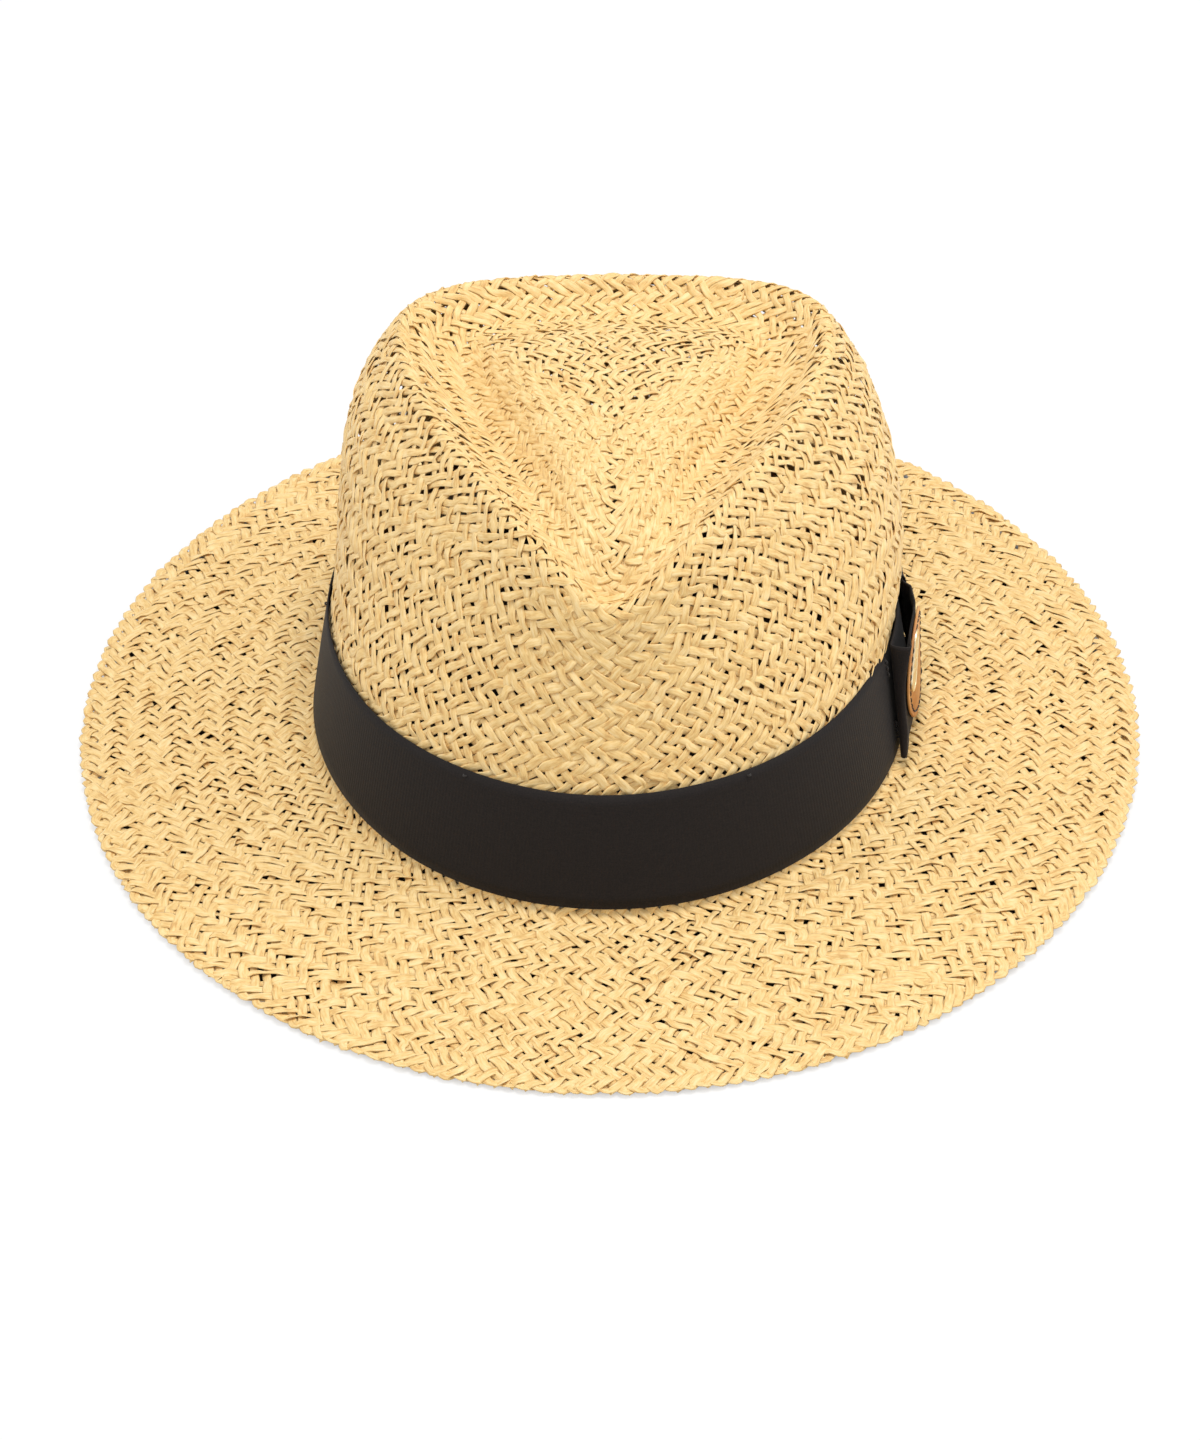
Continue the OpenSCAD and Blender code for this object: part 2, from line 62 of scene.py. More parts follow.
headToFace = hood["sweatbandThick"] + hood["layerGap"] + hood["strawThick"]
footWidth = hood["headWidth"] / 2 + headToFace
footLength = hood["headLength"] / 2 + headToFace
footZ = hood["brimDrop"] + hood["strawThick"]
ribbonTop = hood["ribbonLift"] + hood["ribbonHeight"]
bandFace = hood["layerGap"] + hood["ribbonThick"]


# Angles run round the hat from the wearer's left (+X) over the back (+Y), in radians
def ease(t):
    t = np.clip(t, 0, 1)
    return t * t * (3 - 2 * t)


def bySide(a, front, side, back):
    s = np.sin(a)
    return (np.clip(-s, 0, 1) ** 2 * front + np.cos(a) ** 2 * side
            + np.clip(s, 0, 1) ** 2 * back)


def at(x, y, z):
    return np.stack(np.broadcast_arrays(x, y, z), -1).astype(float)


def unit(v):
    return v / np.maximum(np.linalg.norm(v, axis=-1, keepdims=True), 1e-12)


def foot(a):
    return at(footWidth * np.cos(a), footLength * np.sin(a), footZ)


def outward(a):
    return unit(at(np.cos(a) / footWidth, np.sin(a) / footLength, 0))


def wall(a, h, out):
    # a place h above the crown's foot and out from the straw's outer face
    a, h, out = np.broadcast_arrays(a, h, out)
    lean = bySide(a, hood["leanFront"], hood["leanSide"], hood["leanBack"]) * h / ribbonTop
    return foot(a) + at(0, 0, h) + outward(a) * (out - lean)[..., None]


def brim(a, share):
    side = np.cos(a) ** 2
    width = hood["brimFront"] + (hood["brimSide"] - hood["brimFront"]) * side
    drop = share * (hood["brimDrop"] - hood["brimSideRise"] * side)
    return foot(a) + outward(a) * (width * share)[..., None] - at(0, 0, drop)


def topEdge(a):
    s = np.sin(a)
    backness = (1 + np.sin(math.pi / 2 * s)) / 2
    x = (hood["topHalfWidth"] * np.cos(a) * (1 - hood["topNarrowing"] * (1 - backness))
         * (1 + hood["cornerSpread"] * np.clip(s, 0, 1) ** 2))
    reach = hood["topFront"] + (hood["topBack"] - hood["topFront"]) * backness
    squared = 1 + hood["cornerSquare"] * np.clip(s, 0, 1) * np.cos(a) ** 2
    pinch = np.where(s < 0, hood["pinchDepth"] * np.exp(-((x / hood["pinchWidth"]) ** 2)), 0)
    z = bySide(a, hood["peakHeight"], hood["sideHeight"], hood["backHeight"]) - pinch
    return at(x + hood["topShiftX"], hood["topShiftY"] + reach * s * squared, footZ + z)


def topOut(a):
    d = topEdge(a + math.radians(2)) - topEdge(a - math.radians(2))
    return unit(at(d[..., 1], -d[..., 0], 0))


dome = np.array([hood["topShiftX"], hood["domeY"], footZ + hood["domeHeight"]])


def groove(a):
    # the valley inside the crown's edge; at the front its two sides meet in a round end
    inwards = bySide(a, hood["pinchIn"], hood["grooveIn"], hood["grooveBackIn"])
    depth = bySide(a, -hood["pinchRise"], hood["grooveDepth"], hood["grooveBackDepth"])
    p = topEdge(a) - topOut(a) * inwards[..., None] - at(0, 0, depth)
    side = np.sign(np.cos(a))
    across = np.maximum((p[..., 0] - hood["topShiftX"]) * side,
                        hood["frontRound"] * np.abs(np.cos(a)))
    p[..., 0] = hood["topShiftX"] + side * across
    return p


def shoulder(a, share, rise):
    # a place between the valley and the middle of the dome
    g = groove(a)
    p = g + (dome - g) * share
    p[..., 2] = g[..., 2] + (dome[2] - g[..., 2]) * rise
    return p


def cage(a):
    # the cage of points that the hood is drawn through, from brim edge to crown centre
    edge, out, rolled = topEdge(a), topOut(a), hood["rollRadius"]
    s = np.sin(a)
    swell = (hood["wallSwell"] * ease((1 + s) / 1.5) * (1 - np.clip(-s, 0, 1) ** 2)
             * (1 - 0.6 * np.clip(s, 0, 1) ** 6))
    push = outward(a) * swell[..., None]
    width = hood["brimFront"] + (hood["brimSide"] - hood["brimFront"]) * np.cos(a) ** 2
    top = wall(a, ribbonTop, 0)
    # over the bow the soft straw hangs out a little above the band
    fromBow = (a + 3) % turn - 3 - hood["bulgeAngle"]
    bulge = outward(a) * (hood["bulge"] * np.exp(-(fromBow / hood["bulgeWidth"]) ** 2))[..., None]
    return np.stack([
        brim(a, 1), brim(a, 0.75), brim(a, 0.45), brim(a, 0.2),
        brim(a, hood["breakWidth"] * 2 / width),
        foot(a) + outward(a) * hood["breakWidth"] * 0.7 - up * 0.9,
        foot(a),
        wall(a, 6, 0), wall(a, ribbonTop * 0.5, 0), wall(a, ribbonTop * 0.88, 0),
        wall(a, ribbonTop * 1.16, 0) + bulge * 0.8,
        top * 0.62 + edge * 0.38 + push * 0.8 + bulge * 0.75,
        top * 0.28 + edge * 0.72 + push,
        edge + (out - up) * rolled * 0.9,
        edge + up * rolled * 0.15,
        edge - (out + up) * rolled * 0.9,
        groove(a), shoulder(a, 0.2, 0.74), shoulder(a, 0.52, 1.04),
        np.broadcast_to(dome + up * 0.5, edge.shape),
    ])


def curve(knots, t):
    # cubic B-spline through a cage, row by row
    ends = np.concatenate([2 * knots[:1] - knots[1:2], knots, 2 * knots[-1:] - knots[-2:-1]])
    i = min(int(t), len(knots) - 2)
    f = t - i
    return ((1 - f) ** 3 * ends[i] + (3 * f ** 3 - 6 * f ** 2 + 4) * ends[i + 1]
            + (-3 * f ** 3 + 3 * f ** 2 + 3 * f + 1) * ends[i + 2] + f ** 3 * ends[i + 3]) / 6


# The straw's middle surface as a table: rows from brim edge to crown centre,
# columns evenly spaced along each ring, starting at the back
rowsPerKnot = 16
columns = 1024


def surfaceTable():
    angles = math.pi / 2 + turn * np.arange(720) / 720
    knots = cage(angles)
    rowKnots = np.linspace(0, len(knots) - 1, (len(knots) - 1) * rowsPerKnot + 1)
    rows, even = [], np.arange(columns) / columns
    perimeter = []
    for t in rowKnots:
        ring = curve(knots, t)
        closed = np.concatenate([ring, ring[:1]])
        length = np.concatenate([[0], np.cumsum(np.linalg.norm(np.diff(closed, axis=0), axis=1))])
        perimeter.append(length[-1])
        share = length / max(length[-1], 1e-9) if length[-1] > 1e-6 else np.linspace(0, 1, 721)
        rows.append(np.stack([np.interp(even, share, closed[:, i]) for i in range(3)], -1))
    rows = np.array(rows)
    around = np.roll(rows, -1, 1) - np.roll(rows, 1, 1)
    inwards = np.gradient(rows, axis=0)
    normals = unit(np.cross(around, inwards))
    normals[-1] = up
    middle = rows - normals * hood["strawThick"] / 2
    steps = np.linalg.norm(np.diff(middle, axis=0), axis=2).mean(1)
    fromCentre = np.concatenate([np.cumsum(steps[::-1])[::-1], [0]])
    return middle, normals, np.array(perimeter), fromCentre


strawMiddle, strawNormal, ringLength, fromCentre = surfaceTable()
print("surface table", strawMiddle.shape, "meridian", round(fromCentre[0], 1))


def onStraw(row, around):
    # position and normal of the middle surface at a row number and a share of the ring
    row = np.clip(row, 0, len(strawMiddle) - 1.001)
    i = row.astype(int)
    f = (row - i)[:, None]
    x = (around % 1) * columns
    j = x.astype(int) % columns
    g = (x - x.astype(int))[:, None]
    j2 = (j + 1) % columns
    both = []
    for table in (strawMiddle, strawNormal):
        low = table[i, j] * (1 - g) + table[i, j2] * g
        high = table[i + 1, j] * (1 - g) + table[i + 1, j2] * g
        both.append(low * (1 - f) + high * f)
    return both[0], unit(both[1])


# Twill weave: every strand runs at 45 degrees to the rings, over two and under two.
# A cell is a crossing of one strand that leans right and one that leans left.
weave = {
    "pitchKnots": [0, 3, 6, 9, 12, 13, 14, 15, 16, 19],       # cage rows, brim edge to centre
    "pitch": [3.05, 2.95, 2.8, 2.9, 3.1, 3.25, 3.3, 2.9, 2.55, 2.4],  # mm between strands
    # the cells are drawn wide at front and back and narrow at the sides by these shares
    "stretchKnots": [0, 4, 6, 9, 12, 14, 16],
    "stretch": [0.05, 0.07, 0.16, 0.2, 0.12, 0.05, 0.0],
    "firstRing": 2.2,      # mm from the centre to the first ring of cells
    "edgeMargin": 2.5,     # mm from the last ring to the brim edge
    "lift": 0.26,          # mm that a strand rises or sinks at a crossing
    "liftSpread": 0.25,    # share by which that varies
    # strand width as a share of the pitch; the weave is drawn open on the crown's ridges
    "width": [0.9, 0.83, 0.83, 0.82, 0.79, 0.66, 0.66, 0.77, 0.82, 0.82],
    "widthSpread": 0.12,
    "thick": 0.46,         # mm
    "bornAt": 0.28,        # where the two cells of a new strand lie, as a share of their gap
    "bornSpread": 0.25,    # how much chance there is in which gap they start
    "settle": 0.86,        # share of its own place that a cell keeps on an evened ring
    "jitter": 0.11,        # share of a cell
    "slips": 0.06,         # share of crossings where the weaver took the other strand
    "tilt": 0.2,           # how far a strand rolls about its own length
    "turnRow": 0.8,        # where a strand turns back at the brim edge, in table rows
    "turnRise": 0.1,       # mm
    "tuck": (0.75, 0.95),  # mm under the middle surface at the two places of its tail
    "endShare": 0.35,      # where the other strands end, as a share of the last ring's row
    "endDrop": 0.45,       # mm
    "linkDrop": 0.55,      # mm under the surface where a folded strand starts
    "stations": 3,         # per cell
    "groups": 8,           # pieces that the strands are shared out to
}


def planRings():
    rowAt = np.arange(len(fromCentre))
    pitchAt = np.interp(rowAt / rowsPerKnot, weave["pitchKnots"], weave["pitch"])
    lengths, here = [], weave["firstRing"]
    while here < fromCentre[0] - weave["edgeMargin"]:
        lengths.append(here)
        row = np.interp(-here, -fromCentre, rowAt)
        here += np.interp(row, rowAt, pitchAt) / math.sqrt(2)
    lengths = np.array(lengths)
    stretch = (fromCentre[0] - weave["edgeMargin"] - lengths[0]) / (lengths[-1] - lengths[0])
    lengths = lengths[0] + (lengths - lengths[0]) * stretch
    rows = np.interp(-lengths, -fromCentre, rowAt)
    pitches = np.interp(rows, rowAt, pitchAt)
    counts = np.interp(rows, rowAt, ringLength) / (pitches * math.sqrt(2))
    stretches = np.interp(rows / rowsPerKnot, weave["stretchKnots"], weave["stretch"])
    widths = pitches * np.interp(rows / rowsPerKnot, weave["pitchKnots"], weave["width"])
    return rows, widths, counts, stretches


ringRows, ringWidth, wantedCount, ringStretch = planRings()


def growCells():
    # each ring's cells lie over the gaps of the ring before; where the hood widens,
    # the widest gaps get two cells and a new folded strand starts there
    ring, place = [0] * 4, [(i + 0.5) / 4 for i in range(4)]
    backR, backL = [-1] * 4, [-1] * 4
    born, starts, first, count = [], [0], 0, 4
    born1, born2 = weave["bornAt"], 1 - weave["bornAt"]
    for k in range(1, len(ringRows)):
        extra = int(np.clip(round(wantedCount[k]) - count, 0, count))
        here = np.array(place[first:])
        widths = (np.roll(here, -1) - here) % 1
        order = np.argsort(-widths * (1 + weave["bornSpread"] * rng.random(count)))
        chosen = set(order[:extra].tolist())
        newFirst, newPlace = len(ring), []
        for j in range(count):
            left, right = first + j, first + (j + 1) % count
            if j in chosen:
                born.append((len(ring), len(ring) + 1))
                ring += [k, k]
                newPlace += [here[j] + share * widths[j] for share in (born1, born2)]
                backR += [left, -1]
                backL += [-1, right]
            else:
                ring.append(k)
                newPlace.append(here[j] + 0.5 * widths[j])
                backR.append(left)
                backL.append(right)
        first, count = newFirst, len(ring) - newFirst
        even = np.arange(count) / count + newPlace[0]
        even = even + ringStretch[k] * np.sin(2 * turn * even) / (2 * turn)
        shift = np.array(newPlace) - even
        for _ in range(3):
            shift = 0.5 * shift + 0.25 * (np.roll(shift, 1) + np.roll(shift, -1))
        settled = shift.mean() + weave["settle"] * (shift - shift.mean())
        place += (even + settled).tolist()
        starts.append(first)
    starts.append(len(ring))
    return np.array(ring), np.array(place), np.array(backR), np.array(backL), born, starts


def evenOut(place, backR, backL, starts):
    # cells slide along their rings until each lies midway between its neighbours
    n = len(place)
    onR, onL = np.full(n, -1), np.full(n, -1)
    has = backR >= 0
    onR[backR[has]] = np.nonzero(has)[0]
    has = backL >= 0
    onL[backL[has]] = np.nonzero(has)[0]
    before, after = np.arange(n) - 1, np.arange(n) + 1
    for k in range(len(starts) - 1):
        before[starts[k]] = starts[k + 1] - 1
        after[starts[k + 1] - 1] = starts[k]

    def step(one, two):
        both = (one >= 0) & (two >= 0)
        d1 = (place[one] - place + 0.5) % 1 - 0.5
        d2 = (place[two] - place + 0.5) % 1 - 0.5
        return np.where(both, (d1 + d2) / 2, 0), both

    rounds, sidePull, pace = 40, 0.9, 0.7
    for _ in range(rounds):
        side = step(before, after)[0]
        inner, hasInner = step(backR, backL)
        outer, hasOuter = step(onR, onL)
        total = side * sidePull + inner + outer
        place = place + pace * total / (sidePull + hasInner + hasOuter)
    return place, onR, onL


cellRing, cellPlace, backR, backL, bornPairs, ringStarts = growCells()
cellPlace, onR, onL = evenOut(cellPlace, backR, backL, ringStarts)
cellCount = len(cellRing)
ringCount = len(ringStarts) - 1
ringSizes = np.diff(ringStarts)
print("weave", ringCount, "rings", cellCount, "cells", ringSizes[-1], "at the edge")

jitter = rng.normal(0, weave["jitter"], (cellCount, 2))
rowStep = np.gradient(ringRows)
cellRow = ringRows[cellRing] + jitter[:, 0] * rowStep[cellRing]
cellAround = cellPlace + jitter[:, 1] / ringSizes[cellRing]
cellPoint, cellNormal = onStraw(cellRow, cellAround)
rightOnTop = (cellRing % 4 < 2) ^ (rng.random(cellCount) < weave["slips"])


def strandFrom(cell, following, leansRight):
    # the cells of one strand, from where it starts to the brim edge
    cells = []
    while cell >= 0:
        cells.append(cell)
        cell = following[cell]
    cells = np.array(cells)
    lifted = rightOnTop[cells] == leansRight
    spread = 1 + rng.normal(0, weave["liftSpread"], len(cells))
    return cells, np.where(lifted, 1.0, -1.0) * weave["lift"] * spread


def edgeTurn(lastCell):
    # a right-leaning strand turns back over the brim edge and is tucked under its neighbour
    start, count = ringStarts[-2], ringSizes[-1]
    beside = start + (lastCell - start + 1) % count
    middle = cellAround[lastCell] + ((cellAround[beside] - cellAround[lastCell]) % 1) / 2
    edgePoint, edgeNormal = onStraw(np.array([weave["turnRow"]]), np.array([middle]))
    tail = [beside, backL[beside] if backL[beside] >= 0 else backR[beside]]
    tucked = cellPoint[tail] - cellNormal[tail] * np.array(weave["tuck"])[:, None]
    points = np.concatenate([edgePoint + edgeNormal * weave["turnRise"], tucked])
    normals = np.concatenate([edgeNormal, cellNormal[tail]])
    return points, normals


def edgeEnd(lastCell):
    # a left-leaning strand ends under the turn of the one beside it
    start, count = ringStarts[-2], ringSizes[-1]
    beside = start + (lastCell - start - 1) % count
    middle = cellAround[beside] + ((cellAround[lastCell] - cellAround[beside]) % 1) / 2
    point, normal = onStraw(np.array([weave["endShare"] * ringRows[-1]]), np.array([middle]))
    return point - normal * weave["endDrop"], normal


def armOf(cells, height):
    return cellPoint[cells] + cellNormal[cells] * height[:, None], cellNormal[cells]


def startAtCentre(pointsL, pointsR):
    # the first four strands are linked across the middle of the crown
    link = (pointsL[0] + pointsR[0]) / 2 * 0.7 + (dome - up * 0.3) * 0.3
    link[2] = (pointsL[0][2] + pointsR[0][2]) / 2
    return link[None], up[None]


def startFolded(leftCell, rightCell):
    # every later strand starts folded, its fold tucked under the ring before
    ring = cellRing[leftCell]
    row = (ringRows[ring] - 0.45 * rowStep[ring] + ringRows[ring - 1]) / 2
    gap = (cellAround[rightCell] - cellAround[leftCell]) % 1
    point, normal = onStraw(np.array([row]), np.array([cellAround[leftCell] + gap / 2]))
    return point - normal * weave["linkDrop"], normal


def allChains():
    # one chain is a folded strand: in from the edge, round its fold and out again
    chains = []
    pairs = [(left, right, False) for left, right in bornPairs]
    pairs += [((i - 1) % 4, i, True) for i in range(4)]
    for leftCell, rightCell, central in pairs:
        cellsL, heightL = strandFrom(leftCell, onL, False)
        cellsR, heightR = strandFrom(rightCell, onR, True)
        pointsL, normalsL = armOf(cellsL, heightL)
        pointsR, normalsR = armOf(cellsR, heightR)
        link = startAtCentre(pointsL, pointsR) if central else startFolded(leftCell, rightCell)
        turnPoints, turnNormals = edgeTurn(cellsR[-1])
        endPoint, endNormal = edgeEnd(cellsL[-1])
        points = np.concatenate([endPoint, pointsL[::-1], link[0], pointsR, turnPoints])
        normals = np.concatenate([endNormal, normalsL[::-1], link[1], normalsR, turnNormals])
        width = np.concatenate([[ringWidth[-1]], ringWidth[cellRing[cellsL[::-1]]],
                                [ringWidth[cellRing[leftCell]] * 0.85],
                                ringWidth[cellRing[cellsR]], ringWidth[[-1, -1, -1]]])
        chains.append((points, normals, width))
    return chains


def smoothPath(values, stations):
    # a curve through the points, with so many stations from one point to the next
    before, after = 2 * values[:1] - values[1:2], 2 * values[-1:] - values[-2:-1]
    padded = np.concatenate([before, values, after])
    f = np.arange(stations)[None, :, None] / stations
    a, b, c, d = (padded[i:len(padded) - 3 + i, None] for i in range(4))
    inside = 0.5 * (2 * b + (c - a) * f + (2 * a - 5 * b + 4 * c - d) * f ** 2
                    + (3 * b - a - 3 * c + d) * f ** 3)
    return np.concatenate([inside.reshape(-1, values.shape[1]), values[-1:]])


def pieceFrom(name, bm, material):
    mesh = bpy.data.meshes.new(name)
    bm.to_mesh(mesh)
    bm.free()
    mesh.materials.append(material)
    piece = bpy.data.objects.new(name, mesh)
    bpy.context.scene.collection.objects.link(piece)
    return piece


def claim(piece, slot, *nodes):
    # every piece rides on the hat's one body and stands for the CAD nodes named
    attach(piece, "root")
    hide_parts(*nodes)


straightTubes = {}


def straightTube(stations, profile):
    # a straight closed tube: the profile in YZ, one station per unit of X
    key = (stations, len(profile))
    if key not in straightTubes:
        bm = bmesh.new()
        sides = len(profile)
        bmesh.ops.create_grid(bm, x_segments=stations - 1, y_segments=sides, size=1)
        for vert in bm.verts:
            side = round((vert.co.y + 1) / 2 * sides) % sides
            vert.co = (round((vert.co.x + 1) / 2 * (stations - 1)), *profile[side])
        bmesh.ops.remove_doubles(bm, verts=bm.verts, dist=0.001)
        openEdges = [e for e in bm.edges if len(e.link_faces) == 1]
        bmesh.ops.holes_fill(bm, edges=openEdges, sides=sides)
        bmesh.ops.recalc_face_normals(bm, faces=bm.faces)
        mesh = bpy.data.meshes.new("straightTube")
        bm.to_mesh(mesh)
        bm.free()
        coords = np.empty(len(mesh.vertices) * 3)
        mesh.vertices.foreach_get("co", coords)
        straightTubes[key] = (mesh, coords.reshape(-1, 3))
    return straightTubes[key]


def bentStrands(name, strands, profile, material, thick):
    # each strand is (path, normals, width) in mm; a straight tube is bent along its path
    bm = bmesh.new()
    places, extras = [], []
    profile = np.array(profile, float)
    for path, normals, width in strands:
        mesh, straight = straightTube(len(path), [tuple(p) for p in profile])
        bm.from_mesh(mesh)
        along = unit(np.gradient(path, axis=0))
        across = unit(np.cross(normals, along))
        lift = np.cross(along, across)
        i = np.rint(straight[:, 0]).astype(int)
        y, z = straight[:, 1], straight[:, 2]
        places.append(path[i] + across[i] * (y * width[i] / 2)[:, None]
                      + lift[i] * (z * thick / 2)[:, None])
        distance = np.concatenate([[0], np.cumsum(np.linalg.norm(np.diff(path, axis=0), axis=1))])
        seed = rng.random()
        extras.append(np.stack([distance[i], y * width[i] / 2, np.full(len(i), seed)], -1))
    piece = pieceFrom(name, bm, material)
    mesh = piece.data
    mesh.vertices.foreach_set("co", (np.concatenate(places) * mm).ravel())
    strandData = mesh.attributes.new("strand", "FLOAT_VECTOR", "POINT")
    strandData.data.foreach_set("vector", np.concatenate(extras).ravel())
    mesh.polygons.foreach_set("use_smooth", [True] * len(mesh.polygons))
    mesh.update()
    return piece


# Materials
def hexColour(code):
    channels = [int(code[i:i + 2], 16) / 255 for i in (1, 3, 5)]
    linear = [c / 12.92 if c <= 0.04045 else ((c + 0.055) / 1.055) ** 2.4 for c in channels]
    return (*linear, 1)


def newMaterial(name):
    material = bpy.data.materials.new(name)
    material.use_nodes = True
    tree = material.node_tree
    return material, tree, tree.nodes["Principled BSDF"]


def addNode(tree, kind, settings=None, inputs=None, links=None):
    node = tree.nodes.new(kind)
    for key, value in (settings or {}).items():
        setattr(node, key, value)
    for key, value in (inputs or {}).items():
        node.inputs[key].default_value = value
    for key, socket in (links or {}).items():
        tree.links.new(socket, node.inputs[key])
    return node


def rampStops(node, stops):
    ramp = node.color_ramp
    while len(ramp.elements) < len(stops):
        ramp.elements.new(0.5)
    for element, (position, code) in zip(ramp.elements, stops):
        element.position = position
        element.color = hexColour(code)


def perMetre(size):
    # the scale that gives a pattern cells of so many millimetres
    return 1 / (size * mm)


def strawMaterial():
    # flat folded paper straw, dyed through: matt, with fine wrinkles along each strand; besides
    # its own random tone, its colour is darker in the wrinkles' hollows, which is painted shade
    material, tree, shader = newMaterial("paper_straw")
    strand = addNode(tree, "ShaderNodeAttribute", {"attribute_name": "strand"})
    split = addNode(tree, "ShaderNodeSeparateXYZ", links={0: strand.outputs["Vector"]})
    # the attribute is in mm: the wrinkles are 3.3 mm long and 0.67 mm wide, and other
    # ones on every strand
    alongScale = addNode(tree, "ShaderNodeMath", {"operation": "MULTIPLY"}, {1: 0.3},
                         {0: split.outputs["X"]})
    seedShift = addNode(tree, "ShaderNodeMath", {"operation": "MULTIPLY"}, {1: 91.0},
                        {0: split.outputs["Z"]})
    acrossScale = addNode(tree, "ShaderNodeMath", {"operation": "MULTIPLY"}, {1: 1.5},
                          {0: split.outputs["Y"]})
    fibre = addNode(tree, "ShaderNodeCombineXYZ",
                    links={0: alongScale.outputs[0], 1: acrossScale.outputs[0],
                           2: seedShift.outputs[0]})
    wrinkleAndShade = addNode(tree, "ShaderNodeTexNoise", inputs={"Scale": 1.0, "Detail": 3.0,
                                                          "Roughness": 0.6},
                      links={"Vector": fibre.outputs[0]})
    blotchPlace = addNode(tree, "ShaderNodeCombineXYZ",
                          links={0: alongScale.outputs[0], 2: seedShift.outputs[0]})
    blotch = addNode(tree, "ShaderNodeTexNoise", inputs={"Scale": 0.8, "Detail": 2.0},
                     links={"Vector": blotchPlace.outputs[0]})
    mixed = addNode(tree, "ShaderNodeMath", {"operation": "MULTIPLY_ADD"}, {1: 0.55},
                    {0: blotch.outputs[0], 2: wrinkleAndShade.outputs[0]})
    # the tone is the straw's own random blotches plus painted shade: where the wrinkle bump is low
    # the colour is darker
    tone = addNode(tree, "ShaderNodeValToRGB", links={0: mixed.outputs[0]})
    rampStops(tone, [(0.56, "#D4A664"), (0.7, "#E6C17D"), (0.84, "#EFCE8F"), (0.95, "#F5D89E")])
    tree.links.new(tone.outputs[0], shader.inputs["Base Color"])
    bump = addNode(tree, "ShaderNodeBump", inputs={"Strength": 0.5, "Distance": 0.0003},
                   links={"Height": wrinkleAndShade.outputs[0]})
    tree.links.new(bump.outputs[0], shader.inputs["Normal"])
    shader.inputs["Roughness"].default_value = 0.55
    shader.inputs["IOR"].default_value = 1.45
    shader.inputs["Sheen Weight"].default_value = 0.08
    return material


print("materials")
paperStraw = strawMaterial()

# Straw strands, in eight groups of whole strands
flatStrand = [(-1, 0), (-0.75, 0.9), (0.75, 0.9), (1, 0), (0.75, -0.9), (-0.75, -0.9)]


def weaveStraw():
    chains = allChains()
    order = rng.permutation(len(chains))
    strands = []
    for index in order:
        points, normals, width = chains[index]
        path = smoothPath(points, weave["stations"])
        normals = normals + rng.normal(0, weave["tilt"], normals.shape)
        faces = unit(smoothPath(normals, weave["stations"]))
        spread = 1 + rng.normal(0, weave["widthSpread"], (len(width), 1))
        wide = smoothPath(width[:, None] * spread, weave["stations"])[:, 0]
        strands.append((path, faces, wide))
    # the strands are shared out so that every group has about as many faces
    sizes = np.cumsum([len(path) for path, _, _ in strands])
    group = np.ceil(sizes * weave["groups"] / sizes[-1] - 1e-9).astype(int) - 1
    for g in range(weave["groups"]):
        chosen = [strand for strand, own in zip(strands, group) if own == g]
        piece = bentStrands(f"straw_strands_{g + 1}", chosen, flatStrand, paperStraw,
                            weave["thick"])
        claim(piece, "straw", "straw_body")
        print("straw group", g + 1, len(chosen), "strands", len(piece.data.polygons), "faces")


weaveStraw()


# Flat goods are grids that a function lays out in mm, given a thickness by a modifier
def layGrid(name, across, along, place, material, thick, rounded=0):
    bm = bmesh.new()
    bmesh.ops.create_grid(bm, x_segments=across, y_segments=along, size=1)
    flat = np.array([v.co[:2] for v in bm.verts])
    laid = place((flat[:, 0] + 1) / 2, (flat[:, 1] + 1) / 2) * mm
    for vert, p in zip(bm.verts, laid):
        vert.co = p
    for face in bm.faces:
        face.smooth = True
    piece = pieceFrom(name, bm, material)
    flatPlace = piece.data.attributes.new("flat", "FLOAT_VECTOR", "POINT")
    flatPlace.data.foreach_set("vector", np.concatenate([flat, 0 * flat[:, :1]], 1).ravel())
    shell = piece.modifiers.new("thickness", "SOLIDIFY")
    shell.thickness, shell.offset = thick * mm, 0
    shell.use_even_offset = True
    if rounded:
        bevel = piece.modifiers.new("edges", "BEVEL")
        bevel.width, bevel.segments = rounded * mm, 2
        bevel.limit_method, bevel.angle_limit = "ANGLE", math.radians(50)
        bevel.harden_normals = True
    return piece


# Threads are short round strands whose ends dive into the cloth
threadRadius = 0.25
threadLift = 0.12      # from the cloth's face to where a stitch starts
roundThread = [(math.cos(turn * i / 6), math.sin(turn * i / 6)) for i in range(6)]


def sewThreads(name, stitches, radius, material):
    strands = []
    for start, end, out in stitches:
        share = np.array([-0.02, 0.0, 0.12, 0.3, 0.5, 0.7, 0.88, 1.0, 1.02])
        rise = np.array([-2.2, -0.8, 0.5, 0.9, 1.0, 0.9, 0.5, -0.8, -2.2]) * radius
        path = start + (end - start) * share[:, None] + out * rise[:, None]
        strands.append((path, np.broadcast_to(out, path.shape), np.full(len(path), radius * 2)))
    return bentStrands(name, strands, roundThread, material, radius * 2)


def uprightStitches(a, low, pitch, count, length, out, facing):
    # a row of upright stitches on the wall, one above the other
    return [(wall(a, low + i * pitch, out), wall(a, low + i * pitch + length, out), facing)
            for i in range(count)]


